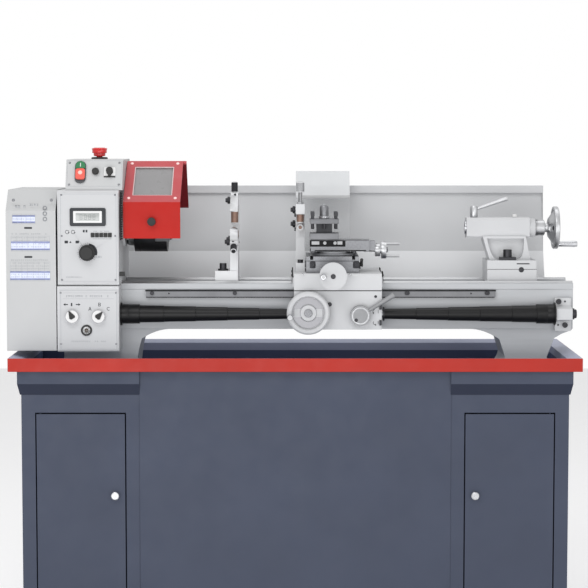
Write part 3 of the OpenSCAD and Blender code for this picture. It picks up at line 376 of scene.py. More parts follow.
@dataclass(frozen=True)
class ClearPlastic(Finish):
    """A thin clear or tinted plastic sheet.

    Attributes:
        clearness: Share of the light that passes straight through.
        cloud_from: Height in millimetres from which the sheet is cloudy, or zero.
        cloud: Share of the light that passes through the cloudy part.
    """

    clearness: float = 0.55
    cloud_from: float = 0.0
    cloud: float = 0.2

    def extra(self, surface: Surface) -> None:
        """Lets part of the light straight through the sheet.

        Args:
            surface: Surface to add to.
        """
        surface.inputs["Alpha"].default_value = 1.0 - self.clearness
        if self.cloud_from:
            between = ((self.cloud_from - 3.0) * MM, (self.cloud_from + 3.0) * MM)
            height = surface.part(surface.place, "Z")
            alpha = surface.span(height, between, (1.0 - self.clearness, 1.0 - self.cloud))
            surface.link(alpha, surface.inputs["Alpha"])


@dataclass(frozen=True)
class GroundWays(Finish):
    """Painted casting whose top faces are ground bare.

    Attributes:
        bare_colour: Linear colour of the ground metal.
        bare_from: Height from which the faces are bare.
    """

    bare_colour: Colour = (0.4, 0.4, 0.4, 1.0)
    bare_from: float = 0.0

    def extra(self, surface: Surface) -> None:
        """Swaps paint for bare metal above the given height.

        Args:
            surface: Surface to add to.
        """
        above = surface.node("ShaderNodeMath")
        above.operation = "GREATER_THAN"
        above.inputs[1].default_value = self.bare_from * MM
        surface.link(surface.part(surface.place, "Z"), above.inputs[0])
        dark, light = tinted(self.bare_colour, 0.85), tinted(self.bare_colour, 1.1)
        surface.cover(above.outputs[0], surface.ramp(surface.noise(1.0, 200.0, 4.0), 0.3, dark, 0.7, light))
        surface.link(above.outputs[0], surface.inputs["Metallic"])


CAST_GREY = Finish(
    "cast_grey_paint", linear(193, 194, 196), 0.46, spread=0.035, scale=7, relief=0.06, relief_scale=420
)
SHEET_GREY = Finish(
    "sheet_grey_paint", linear(182, 183, 184), 0.46, spread=0.025, scale=4, relief=0.03, relief_scale=700
)
# Painted light: below the fold the back guard's lower, sloping panel is painted lighter, as if it caught more
# light from above.
GUARD_GREY_LIT_BELOW_FOLD = ZonedPaint(
    "back_guard_paint_lit_below_fold", linear(194, 195, 197), 0.44, spread=0.03, scale=3, relief=0.03, relief_scale=700,
    zones=(("-Z", GUARD_FOLD, linear(216, 217, 219)),),
)
BED_GREY = GroundWays(
    "bed_paint", linear(178, 180, 183), 0.40, spread=0.04, scale=6, relief=0.05, relief_scale=400,
    grain=Grain.ALONG_X, bare_colour=linear(170, 171, 173), bare_from=934.6,
)
PLATE = Finish("printed_plate", linear(188, 189, 191), 0.45, spread=0.015, scale=6, relief=0.01)
STAND_BLUE = Finish(
    "stand_blue_paint", linear(60, 66, 82), 0.52, spread=0.06, scale=5, relief=0.05, relief_scale=600
)
# Painted shade: faces of the stand that look down, such as the undersides of the skirt's flares, are painted a
# darker navy.
SKIRT_BLUE_SHADED_UNDER = ZonedPaint(
    "skirt_blue_paint_shaded_under", linear(60, 66, 82), 0.52, spread=0.05, scale=5, relief=0.05, relief_scale=600,
    under=linear(26, 32, 50),
)
BAND_RED = linear(162, 36, 25)
# Painted light and shade: the tray's blue is painted dark below 727 mm as painted shade on the floor, and pale
# above it as painted light on the walls. The red band round the flange is the tray's own paint.
TRAY_PAINT_SHADED_FLOOR_LIT_WALLS = ZonedPaint(
    "tray_paint_shaded_floor_lit_walls", linear(80, 88, 116), 0.45, spread=0.05, scale=6, relief=0.05, relief_scale=500,
    zones=(
        ("Z", 727, linear(172, 177, 198)), ("X", 723.2, BAND_RED), ("-X", -723.2, BAND_RED),
        ("Y", 243.2, BAND_RED), ("-Y", -243.2, BAND_RED),
    ),
)
# Painted light and shade: the chuck guard's sloping top above 1146.5 mm is painted a paler red as painted
# light, and its back beyond Y -4 mm, seen through the open end, a dark red as painted shadow.
GUARD_RED_LIT_TOP_SHADED_BACK = ZonedPaint(
    "guard_red_paint_lit_top_shaded_back", linear(168, 22, 12), 0.5, spread=0.05, scale=8, relief=0.03, relief_scale=600,
    zones=(("Z", 1146.5, linear(176, 74, 78)), ("Y", -4, linear(106, 20, 26))),
)
WHEEL_PAINT = Finish(
    "wheel_paint", linear(184, 185, 187), 0.46, spread=0.03, scale=30, relief=0.02, relief_scale=500, coat=0.1
)
GROUND_STEEL = Finish(
    "ground_steel", linear(150, 151, 153), 0.36, 1, spread=0.08, scale=30, relief=0.01, relief_scale=300,
    grain=Grain.ALONG_X,
)
MILLED_STEEL = Finish(
    "milled_steel", linear(122, 123, 126), 0.42, 1, spread=0.1, scale=24, relief=0.02, relief_scale=260,
    grain=Grain.ALONG_Y, dirt=0.15,
)
CHROME = Finish(
    "polished_chrome", linear(178, 179, 182), 0.22, 1, spread=0.03, scale=20, relief=0.004, relief_scale=200
)
TURNED_ALLOY = Finish(
    "turned_alloy", linear(176, 177, 179), 0.34, 1, spread=0.05, scale=40, relief=0.01, relief_scale=500
)
DARK_STEEL = Finish(
    "dark_steel", linear(62, 63, 66), 0.44, 0.8, spread=0.14, scale=30, relief=0.02, relief_scale=300, dirt=0.2
)
CHUCK_STEEL = Finish(
    "chuck_steel", linear(42, 42, 44), 0.36, 0.8, spread=0.12, scale=22, relief=0.01, relief_scale=300
)
BLACK_OXIDE = Finish(
    "black_oxide", linear(14, 14, 15), 0.5, 0, spread=0.15, scale=60, relief=0.02, relief_scale=500
)
SPIRAL_BLACK = Finish(
    "spiral_band_black", linear(24, 24, 25), 0.34, 0.2, spread=0.2, scale=40, relief=0.02, relief_scale=300,
    grain=Grain.ALONG_X,
)
BLACK_PLASTIC = Finish("black_plastic", linear(12, 12, 13), 0.5, spread=0.1, scale=50, relief=0.02)
RUBBER = Finish("black_rubber", linear(24, 24, 25), 0.7, spread=0.1, scale=60, relief=0.05)
RED_PLASTIC = Finish("red_plastic", linear(178, 26, 44), 0.4, spread=0.04, scale=40, relief=0.01)
CORAL_PLASTIC = Finish("stop_cap_plastic", linear(214, 92, 80), 0.4, spread=0.04, scale=60, relief=0.01)
GREEN_PLASTIC = Finish("start_cap_plastic", linear(44, 112, 72), 0.4, spread=0.05, scale=60, relief=0.01)
WHITE_PLASTIC = Finish("white_plastic", linear(214, 214, 214), 0.35, spread=0.01, scale=60, relief=0.01)
DISPLAY_GREY = Finish(
    "display_glass", linear(160, 163, 162), 0.12, spread=0.04, scale=90, relief=0.004, coat=0.8
)
INK_BLACK = Finish("plate_ink_black", linear(44, 46, 50), 0.45, spread=0.05, scale=90, relief=0.005)
INK_GREY = Finish("plate_ink_grey", linear(150, 153, 158), 0.45, spread=0.04, scale=90, relief=0.005)
INK_BLUE = Finish("plate_ink_blue", linear(132, 140, 178), 0.45, spread=0.06, scale=90, relief=0.005)
INK_PALE_BLUE = Finish("plate_ink_pale_blue", linear(206, 212, 234), 0.45, spread=0.03, scale=90, relief=0.005)
REST_WHITE = Finish(
    "rest_white_paint", linear(206, 207, 209), 0.46, spread=0.03, scale=12, relief=0.06, relief_scale=350
)
BRONZE = Finish("bronze_finger", linear(136, 110, 98), 0.42, 0.35, spread=0.12, scale=60, relief=0.01)
BELT = Finish("belt_rubber", linear(26, 26, 27), 0.65, spread=0.08, scale=80, relief=0.04, relief_scale=800)
CLEAR_SHIELD = ClearPlastic(
    "clear_shield", linear(212, 214, 216), 0.10, spread=0.02, scale=10, relief=0.004, relief_scale=60,
    clearness=0.9, cloud_from=1149,
)
CLEAR_WINDOW = ClearPlastic(
    "clear_window", linear(152, 152, 153), 0.3, spread=0.03, scale=12, relief=0.004, relief_scale=60,
    clearness=0.30,
)
# Dark for seams and the chuck's grooves, and painted shade: the shadow lines round the rack and the floors of
# the cross slide's slots.
SEAM_AND_SHADE_DARK = Finish("seam_and_shade_dark", linear(30, 30, 32), 0.8, spread=0.1, scale=20, relief=0.02)


# Boxes and meshes


@dataclass(frozen=True)
class Span:
    """The box of one node of the frame, in millimetres."""

    low: Vector
    high: Vector

    @classmethod
    def of(cls, node: str) -> "Span":
        """Returns the box of a node."""
        low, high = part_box(node)
        return cls(Vector(low) / MM, Vector(high) / MM)

    @property
    def middle(self) -> Vector:
        """Centre of the box."""
        return (self.low + self.high) / 2.0


def on_circle(centre: Flat, radius: float, angle: float) -> Flat:
    """Returns the point of a circle at an angle in radians."""
    return (centre[0] + radius * math.cos(angle), centre[1] + radius * math.sin(angle))


def arc(centre: Flat, radius: float, start: float, end: float, steps: int) -> List[Flat]:
    """Returns the points of an arc between two angles in degrees."""
    turns = [math.radians(start + (end - start) * index / steps) for index in range(steps + 1)]
    return [on_circle(centre, radius, turn) for turn in turns]


def bow(centre: Flat, outer: float, inner: float, start: float, end: float, steps: int) -> List[Flat]:
    """Returns the outline of a bent strip between two arcs about one centre."""
    return arc(centre, outer, start, end, steps) + arc(centre, inner, start, end, steps)[::-1]


def rect(low: Flat, high: Flat) -> List[Flat]:
    """Returns the outline of a rectangle."""
    return [(low[0], low[1]), (high[0], low[1]), (high[0], high[1]), (low[0], high[1])]


def moved(shape: Sequence[Flat], by: Flat, size: float = 1.0) -> List[Flat]:
    """Returns an outline brought to a size and moved."""
    return [(by[0] + size * u, by[1] + size * v) for u, v in shape]


def rounded(low: Flat, high: Flat, radius: float, steps: int = 4) -> List[Flat]:
    """Outline of a rectangle with round corners.

    Args:
        low: Lowest corner.
        high: Highest corner.
        radius: Radius of the corners.
        steps: Stretches in each corner.

    Returns:
        The outline, counter-clockwise.
    """
    centres = rect((low[0] + radius, low[1] + radius), (high[0] - radius, high[1] - radius))
    points: List[Flat] = []
    for centre, start in zip(centres, (180, 270, 0, 90)):
        points += arc(centre, radius, start, start + 90, steps)
    return points


def outward(turn: float) -> Vector:
    """Returns the direction in the chuck's plane at some degrees from straight up."""
    angle = math.radians(turn)
    return Vector((0, -math.sin(angle), math.cos(angle)))


class Piece:
    """Collects solids in one mesh and hands them over as one named piece."""

    def __init__(self, place: Optional[Matrix] = None) -> None:
        """Starts an empty mesh.

        Args:
            place: Matrix, in millimetres, that carries later solids to their place.
        """
        self.bm = bmesh.new()
        self.place = place or Matrix.Identity(4)

    def _settle(self, verts: Iterable[bmesh.types.BMVert]) -> "Piece":
        """Moves new corners to their place, in metres.

        Args:
            verts: Corners to move.

        Returns:
            The piece itself.
        """
        for vert in verts:
            vert.co = (self.place @ vert.co) * MM
        return self

    def _soften(self, verts: List[bmesh.types.BMVert], edges: Iterable[bmesh.types.BMEdge],
                soft: float) -> List[bmesh.types.BMVert]:
        """Rounds the edges of a new solid.

        Args:
            verts: Corners of the solid.
            edges: Edges to round, once or more each.
            soft: Width of the rounded edges, or zero for none.

        Returns:
            The corners of the solid after that.
        """
        if soft <= 0.0:
            return verts
        made = bmesh.ops.bevel(
            self.bm, geom=list(set(edges)), offset=soft, segments=2, profile=0.6, affect="EDGES",
            clamp_overlap=True,
        )
        return list({vert for vert in verts if vert.is_valid} | set(made["verts"]))

    def prism(self, outline: Sequence[Flat], low: float, high: float, axis: Axis, soft: float = 0.0) -> "Piece":
        """Adds a flat outline run along an axis.

        Args:
            outline: Corners of the outline: (Y, Z) along X, (X, Z) along Y, (X, Y) along Z.
            low: Where it starts.
            high: Where it ends.
            axis: Direction it runs in.
            soft: Width of the rounded edges at both ends.

        Returns:
            The piece itself.
        """
        slot = axis.value.index(1)
        rings = []
        for level in (low, high):
            corners = [[*point[:slot], level, *point[slot:]] for point in outline]
            rings.append([self.bm.verts.new(corner) for corner in corners])
        ends = [self.bm.faces.new(rings[0]), self.bm.faces.new(rings[1][::-1])]
        faces = list(ends)
        for index in range(len(outline)):
            after = (index + 1) % len(outline)
            corners = [rings[0][index], rings[1][index], rings[1][after], rings[0][after]]
            faces.append(self.bm.faces.new(corners))
        bmesh.ops.recalc_face_normals(self.bm, faces=faces)
        rims = [edge for face in ends for edge in face.edges]
        return self._settle(self._soften(rings[0] + rings[1], rims, soft))

    def printed(self, outline: Sequence[Flat], face: float, depth: float = PRINT) -> "Piece":
        """Adds a printed mark, outlined as X and Z, on a face that looks to the front."""
        return self.prism(outline, face - depth, face, Axis.Y)

    def block(self, low: Sequence[float], high: Sequence[float], soft: float = 0.6) -> "Piece":
        """Adds a box with rounded edges.

        Args:
            low: Lowest corner.
            high: Highest corner.
            soft: Width of the rounded edges.

        Returns:
            The piece itself.
        """
        made = bmesh.ops.create_cube(self.bm, size=1.0)["verts"]
        for vert in made:
            vert.co = Vector([low[i] + (high[i] - low[i]) * (vert.co[i] + 0.5) for i in range(3)])
        return self._settle(self._soften(made, [edge for vert in made for edge in vert.link_edges], soft))

    def spun(self, profile: Sequence[Flat], base: Sequence[float], direction: Vector, steps: int = 40,
             closed: bool = False) -> "Piece":
        """Adds a solid of revolution about any direction.

        Args:
            profile: Pairs of radius and distance along the direction.
            base: Point that the distances start from.
            direction: Direction of the axis.
            steps: Corners round the axis.
            closed: Whether the profile closes on itself, as that of a ring.

        Returns:
            The piece itself.
        """
        direction = direction.normalized()
        side = direction.orthogonal().normalized()
        other = direction.cross(side)
        turns = [math.tau * index / steps for index in range(steps)]
        rings = []
        for radius, along in profile:
            centre = Vector(base) + direction * along
            rings.append([
                self.bm.verts.new(centre + side * (radius * math.cos(turn)) + other * (radius * math.sin(turn)))
                for turn in (turns if radius > TINY else turns[:1])
            ])
        faces = []
        for lower, upper in zip(rings, rings[1:] + rings[:1] if closed else rings[1:]):
            for index in range(steps):
                after = (index + 1) % steps
                picks = ((lower, index), (lower, after), (upper, after), (upper, index))
                corners = list(dict.fromkeys(ring[place % len(ring)] for ring, place in picks))
                if len(corners) > 2:
                    faces.append(self.bm.faces.new(corners))
        if not closed:
            faces += [self.bm.faces.new(ring) for ring in (rings[0], rings[-1]) if len(ring) > 1]
        bmesh.ops.recalc_face_normals(self.bm, faces=faces)
        return self._settle([vert for ring in rings for vert in ring])

    def turned(self, profile: Sequence[Flat], base: Sequence[float], axis: Axis, steps: int = 40,
               sign: float = 1.0) -> "Piece":
        """Adds a solid of revolution that runs along a main axis, or against it with sign -1."""
        return self.spun(profile, base, Vector(axis.value) * sign, steps)

    def ring(self, profile: Sequence[Flat], base: Sequence[float], axis: Axis, steps: int = 48) -> "Piece":
        """Adds a ring, which is a closed profile turned about a main axis."""
        return self.spun(profile, base, Vector(axis.value), steps, True)

    def bar(self, start: Sequence[float], end: Sequence[float], radius: float, tip: Optional[float] = None,
            steps: int = 24, soft: float = 0.5) -> "Piece":
        """Adds a round bar between two points.

        Args:
            start: First end.
            end: Second end.
            radius: Radius at the first end.
            tip: Radius at the second end, if it differs.
            steps: Corners round the bar.
            soft: Width of the rounded edges.

        Returns:
            The piece itself.
        """
        tip = radius if tip is None else tip
        line = Vector(end) - Vector(start)
        length = line.length
        soft = min(soft, length * 0.3, radius * 0.5, tip * 0.5)
        profile = [(radius - soft, 0.0), (radius, soft), (tip, length - soft), (tip - soft, length)]
        return self.spun(profile, start, line, steps)

    def screw(self, centre: Sequence[float], out: Vector, radius: float, height: float) -> "Piece":
        """Adds a socket-head screw head with a sunk hexagon.

        Args:
            centre: Middle of the head's seat.
            out: Direction the head faces.
            radius: Radius of the head.
            height: Height of the head.

        Returns:
            The piece itself.
        """
        soft = radius * 0.12
        profile = [(radius, 0.0), (radius, height - soft), (radius - soft, height), (radius * 0.5, height),
                   (radius * 0.45, height * 0.5), (0.0, height * 0.5)]
        return self.spun(profile, centre, out, 18)

    def scale_marks(self, centre: Sequence[float], axis: Axis, radius: float, count: int, lengths: Flat,
                    width: float, start: float) -> "Piece":
        """Adds the marks round a dial, with every fifth one long.

        Args:
            centre: Middle of the dial's edge.
            axis: Axis of the dial, Y for one that looks to the front.
            radius: Radius of the dial.
            count: Number of marks.
            lengths: Length of the long and of the other marks.
            width: Half the width of a mark.
            start: Distance from the edge to the marks.

        Returns:
            The piece itself.
        """
        for index in range(count):
            long = lengths[0] if index % 5 == 0 else lengths[1]
            u, v = on_circle((0.0, 0.0), radius, math.tau * index / count)
            along = start + long / 2
            shift = (u, -along, v) if axis is Axis.Y else (along, u, v)
            middle = [a + b for a, b in zip(centre, shift)]
            self.spun([(width, -long / 2), (width, long / 2)], middle, Vector(axis.value), 4)
        return self

    def unridden(self, name: str, finish: Finish) -> bpy.types.Object:
        """Makes an object of the mesh, without a body yet.

        Args:
            name: Name of the piece.
            finish: Finish of its surface.

        Returns:
            The new object.
        """
        mesh = bpy.data.meshes.new(name)
        self.bm.to_mesh(mesh)
        self.bm.free()
        piece = bpy.data.objects.new(name, mesh)
        bpy.context.scene.collection.objects.link(piece)
        for polygon in mesh.polygons:
            polygon.use_smooth = True
        mesh.set_sharp_from_angle(angle=math.radians(SMOOTH_DEG))
        mesh.materials.append(finish.material())
        LOG.info("piece %s: %d faces", name, len(mesh.polygons))
        return piece

    def finish(self, name: str, body: str, finish: Finish) -> None:
        """Hands the mesh over as one named piece that rides on a body of the frame."""
        piece = self.unridden(name, finish)
        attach(piece, body)


def dress(nodes: Sequence[str], finish: Finish, edge: float = 0.8) -> None:
    """Gives nodes of the frame a finish and slightly rounded edges.

    Args:
        nodes: Names of the nodes.
        finish: Finish of their surface.
        edge: Width of the rounded edges, or zero for none.
    """
    for node in nodes:
        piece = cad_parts[node]
        for holder in piece.material_slots:
            holder.material = finish.material()
        if edge > 0.0:
            weld = piece.modifiers.new("weld", "WELD")
            weld.merge_threshold = 0.00001
            bevel = piece.modifiers.new("soft_edges", "BEVEL")
            bevel.width = edge * MM
            bevel.segments = 2
            bevel.limit_method = "ANGLE"
            bevel.angle_limit = math.radians(32)
            bevel.use_clamp_overlap = True
            bevel.harden_normals = True
        LOG.info("dressed %s in %s", node, finish.name)


def text_row(work: Piece, start: Flat, width: float, height: float, y: float, letters: int, seed: int) -> None:
    """Adds a row of tiny printed strokes that read as small print.

    Args:
        work: Piece that takes the strokes.
        start: Left end of the row's foot, as X and Z.
        width: Length of the row.
        height: Height of the strokes.
        y: Face that carries the print.
        letters: Number of letters.
        seed: Seed of the strokes.
    """
    draw = random.Random(seed)
    step = width / letters
    foot, head = start[1], start[1] + height
    for index in range(letters):
        if draw.random() < 0.12:
            continue
        x = start[0] + index * step
        wide = step * draw.uniform(0.45, 0.7)
        kind = draw.randrange(3)
        thick = height * 0.24
        if kind != 1:
            work.printed(rect((x, foot), (x + thick, head)), y)
        if kind != 2:
            work.printed(rect((x, foot), (x + wide, foot + thick)), y)
        if kind != 0:
            work.printed(rect((x + wide - thick, foot), (x + wide, head)), y)
        work.printed(rect((x, head - thick), (x + wide, head)), y)


def frame_lines(work: Piece, low: Flat, high: Flat, y: float, line: float) -> None:
    """Adds the four printed lines of a rectangle to a face.

    Args:
        work: Piece to add to.
        low: Lower left corner.
        high: Upper right corner.
        y: Place of the face.
        line: Width of the lines.
    """
    work.printed(rect(low, (high[0], low[1] + line)), y)
    work.printed(rect((low[0], high[1] - line), high), y)
    work.printed(rect((low[0], low[1] + line), (low[0] + line, high[1] - line)), y)
    work.printed(rect((high[0] - line, low[1] + line), (high[0], high[1] - line)), y)


@dataclass
class Stand:
    """Two cabinets, the panels between them and the skirt under the tray."""

    knob_in: float = 25.0
    knob_up: float = 325.0

    def build(self) -> None:
        """Dresses the stand and adds its small parts."""
        dress(["left_cabinet", "right_cabinet"], SKIRT_BLUE_SHADED_UNDER, 1.2)
        dress(["stand_panels"], SKIRT_BLUE_SHADED_UNDER, 1)
        for side, door in (("left", "left_door"), ("right", "right_door")):
            dress([door], STAND_BLUE, 1.5)
            self.door_parts(side, Span.of(door))

    def door_parts(self, side: str, door: Span) -> None:
        """Adds the cap of a door's knob.

        Args:
            side: Left or right.
            door: Box of the door.
        """
        inner = door.high.x if side == "left" else door.low.x
        towards = -1 if side == "left" else 1
        knob_x = inner + towards * self.knob_in
        knob_z = door.low.z + self.knob_up
        Piece().turned(
            [(9.4, 0), (10.2, 1.2), (10.2, 4), (8.6, 5.2), (0, 5.2)], (knob_x, door.low.y + 5, knob_z), Axis.Y,
            32, -1,
        ).finish(f"{side}_door_knob_cap", f"{side}_door", CHROME)


@dataclass
class Tray:
    """Chip tray with its red band.

    Attributes:
        drain_in: Distance of the drain from the right end.
        drain_y: Place of the drain from front to back.
    """

    drain_in: float = 120.0
    drain_y: float = -170.0

    def build(self) -> None:
        """Dresses the tray."""
        dress(["chip_tray"], TRAY_PAINT_SHADED_FLOOR_LIT_WALLS, 1.2)
        tray = Span.of("chip_tray")
        x, y = tray.high.x - self.drain_in, self.drain_y
        floor = tray.low.z + 2
        drain = Piece()
        drain.ring([(14, 0), (24, 0), (24, 1.6), (22, 2.4), (14, 2.4)], (x, y, floor), Axis.Z)
        for turn in range(6):
            drain.bar((x, y, floor + 1.2), (*on_circle((x, y), 14.5, math.radians(60 * turn)), floor + 1.2), 1)
        drain.finish("tray_drain", "machine", DARK_STEEL)


@dataclass
class Bed:
    """Bed with ground ways, its rack and the leadscrew bracket.

    Attributes:
        tooth: Half the distance between two teeth of the rack.
    """

    tooth: float = 1.7

    def build(self) -> None:
        """Dresses the bed and adds its fittings."""
        dress(["bed"], BED_GREY, 1.2)
        dress(["feed_rack"], Finish("rack_steel", linear(122, 123, 126), 0.5, 0.2, spread=0.08, scale=20), 0)
        dress(["leadscrew_bracket"], CAST_GREY, 1.5)
        dress(["machine_screws"], BLACK_OXIDE, 0.5)
        self.rack_shade_and_fixings()
        self.bracket_parts()

    def rack_shade_and_fixings(self) -> None:
        """Adds the painted shadow line above the rack, painted shade between its teeth and behind it, and its
        screws and dowel pins.
        """
        rack = Span.of("feed_rack")
        x0, front, foot = rack.low
        x1, back, top = rack.high
        line = Piece()
        # Painted shadow: a dark line along the rack's top edge.
        line.block((x0 - 2, front - 0.5, top - 3.6), (x1 + 1, front + 0.3, top), 0)
        # Painted shade in the gaps between the teeth.
        count = int((x1 - x0) / self.tooth)
        teeth = [(x0 + self.tooth * step, foot + (0.2 if step % 2 else 2.6)) for step in range(count)]
        line.prism(teeth + [(teeth[-1][0], foot + 3.2), (x0, foot + 3.2)], front - 0.4, front + 0.3, Axis.Y)
        # Painted shade: a dark strip behind the rack.
        line.block((x0 + 1, back - 0.8, foot + 0.4), (x1 - 1, back + 0.2, foot + 9), 0)
        line.finish("rack_shadow_line", "machine", SEAM_AND_SHADE_DARK)
        screws = Piece()
        for x in (x0 + 16, x0 + 230, x1 - 230, x1 - 23):
            screws.screw((x, front - 3, top - 8), FRONT, 5.2, 1.6)
        screws.finish("rack_screw_sockets", "machine", BLACK_OXIDE)
        pins = Piece()
        for x in (-326.6, 455):
            pins.bar((x, front + 0.5, top - 9), (x, front - 0.8, top - 9), 2.2)
        pins.finish("rack_dowels", "machine", BLACK_OXIDE)

    def bracket_parts(self) -> None:
        """Adds the end nut and the screws of the bracket."""
        bracket = Span.of("leadscrew_bracket")
        screw = Span.of("leadscrew")
        centre = screw.middle
        Piece().turned(
            [(0, 0), (13.5, 0), (14.5, 1), (14.5, 6), (11.5, 7), (11.5, 11), (10, 12), (0, 12)],
            (bracket.high.x, centre.y, centre.z), Axis.X, 36,
        ).finish("leadscrew_end_nut", "leadscrew", BLACK_OXIDE)
        left, right = bracket.low.x + 9, bracket.high.x - 16
        heads = Piece()
        for x, z in ((left, centre.z + 31), (right, centre.z - 30)):
            heads.screw((x, bracket.high.y - 21, z), FRONT, 7, 4)
        for x, z in ((left, centre.z - 30), (right, centre.z + 31)):
            heads.screw((x, bracket.high.y - 16, z), FRONT, 2.5, 1)
        heads.finish("bracket_screws", "machine", BLACK_OXIDE)


@dataclass
class SplashGuard:
    """Folded sheet behind the bed, with its end pieces."""

    def build(self) -> None:
        """Dresses the sheet and adds end folds and rivets."""
        dress(["splash_guard"], GUARD_GREY_LIT_BELOW_FOLD, 0.6)
        sheet = Span.of("splash_guard")
        shape = [
            (sheet.high.y - 9, sheet.high.z - 1.5), (sheet.high.y - 9, GUARD_FOLD),
            (sheet.high.y - 29, GUARD_FOLD), (sheet.high.y - 6, sheet.high.z - 1.5),
        ]
        Piece().prism(
            shape, sheet.high.x - 2, sheet.high.x - 0.4, Axis.X
        ).finish("splash_guard_end_fold", "machine", GUARD_GREY_LIT_BELOW_FOLD)
        lean = [(142, 924), (180, GUARD_FOLD), (204, 1150)]
        for name, x0, x1, finish in (("edge", -9, 1, GUARD_GREY_LIT_BELOW_FOLD), ("seal", -12.5, -9, RUBBER)):
            Piece().prism(
                lean + [(y + 1.6, z) for y, z in reversed(lean)], sheet.low.x + x0, sheet.low.x + x1, Axis.X
            ).finish(f"splash_guard_{name}", "machine", finish)
        rivets = Piece()
        for index in range(5):
            x = sheet.low.x + 70 + index * 245
            rivets.turned(
                [(3.4, 0), (3, 1.2), (1.6, 2), (0, 2.2)], (x, 142.2, sheet.low.z + 36), Axis.Y, 18, -1
            )
        rivets.finish("splash_guard_rivets", "machine", DARK_STEEL)


@dataclass
class GearCover:
    """Cover over the change gears, with its printed tables."""

    table_line: float = 0.5

    def build(self) -> None:
        """Dresses the cover and prints its front."""
        dress(["gear_cover"], SHEET_GREY, 1.6)
        cover = Span.of("gear_cover")
        front = cover.low.y
        left = cover.low.x - 5
        blue = Piece()
        pale = Piece()
        lines = Piece()
        black = Piece()
        self.table(blue, pale, lines, front, (left + 22, 1092), (left + 80, 1117), (1112, 1096), 5, 1)
        self.table(blue, pale, lines, front, (left + 18, 1022), (left + 117, 1061), (1045, 1027), 7, 2)
        self.table(blue, pale, lines, front, (left + 15, 946), (left + 117, 995), (969, 951), 7, 3)
        for z in (1081.5, 1007.5):
            black.printed(rounded((left + 52, z - 2.4), (left + 72, z + 2.4), 1.2), front)
        for centre in ((left + 105, 1132), (left + 105, 1118), (left + 105, 1104)):
            self.gear_sign(lines, centre, 6.4, front)
        text_row(lines, (left + 30, 1133), 28, 6, front, 4, 5)
        text_row(lines, (left + 66, 1138), 24, 5, front, 4, 6)
        text_row(lines, (left + 20, 1064.5), 90, 3, front, 18, 7)
        text_row(lines, (left + 18, 998), 95, 3, front, 19, 8)
        blue.finish("cover_table_bands", "gear_cover", INK_BLUE)
        pale.finish("cover_table_fields", "gear_cover", INK_PALE_BLUE)
        lines.finish("cover_table_lines", "gear_cover", INK_GREY)
        black.finish("cover_table_tags", "gear_cover", INK_BLACK)
        screws = Piece()
        for x in (left + 25.5, left + 122):
            screws.screw((x, front, 1152.5), FRONT, 4, 2.4)
        screws.finish("cover_screws", "gear_cover", MILLED_STEEL)
        self.inside(cover)

    def table(
        self, blue: Piece, pale: Piece, lines: Piece, y: float, low: Flat, high: Flat,
        bands: Tuple[float, float], columns: int, seed: int,
    ) -> None:
        """Prints one table of feeds.

        Args:
            blue: Takes the dark bands.
            pale: Takes the pale fields.
            lines: Takes lines and figures.
            y: Face that carries the print.
            low: Lowest corner.
            high: Highest corner.
            bands: Heights of the two dark bands.
            columns: Number of columns.
            seed: Seed of the small print.
        """
        band = 4.2
        for z in bands:
            blue.printed(rect((low[0], z - band / 2), (high[0], z + band / 2)), y)
        pale.printed(rect((low[0], bands[1] + band / 2), (high[0], bands[0] - band / 2)), y, PRINT * 0.6)
        frame_lines(lines, low, high, y, self.table_line)
        for index in range(1, columns):
            x = low[0] + (high[0] - low[0]) * index / columns
            lines.printed(rect((x, low[1]), (x + self.table_line, high[1])), y, PRINT * 1.4)
        rows = max(2, int((high[1] - low[1]) / 7))
        for row in range(rows):
            z = low[1] + (high[1] - low[1]) * (row + 0.3) / rows
            text_row(lines, (low[0] + 2, z), high[0] - low[0] - 4, 2.6, y, columns * 3, seed * 20 + row)

    def gear_sign(self, lines: Piece, centre: Flat, radius: float, y: float) -> None:
        """Prints a small gear.

        Args:
            lines: Piece of printed lines.
            centre: Middle of the gear.
            radius: Radius over the teeth.
            y: Place of the plate's face.
        """
        outline = []
        for index in range(48):
            reach = radius if (index // 2) % 2 else radius * 0.84
            outline.append(on_circle(centre, reach, math.tau * index / 48))
        inner = arc(centre, radius * 0.55, 0, 360, 24)[:-1]
        count = len(outline)
        for index in range(count):
            after = (index + 1) % count
            a = inner[int(index / 2) % 24]
            b = inner[int((index + 2) / 2) % 24]
            lines.printed(
                [outline[index], outline[after], a] if a == b else [outline[index], outline[after], b, a], y
            )

    def inside(self, cover: Span) -> None:
        """Adds dark strips inside the cover's right and bottom edges, painted shade in the gap there.

        Args:
            cover: Extent of the cover.
        """
        y0, y1 = cover.low.y + 3.2, 147
        z0, z1 = cover.low.z + 3.2, cover.high.z - 3.4
        edge = cover.low.x + 126.6
        # Painted shade: dark strips where the gap along the cover's right and bottom edges lies in shadow.
        seal = Piece()
        seal.block((edge - 8, y0, z0), (edge, y0 + 3, z1 - 52), 1)
        seal.block((edge - 8, y0, z0), (edge, y1, z0 + 3), 1)
        seal.finish("gear_cover_gap_shade", "gear_cover", RUBBER)


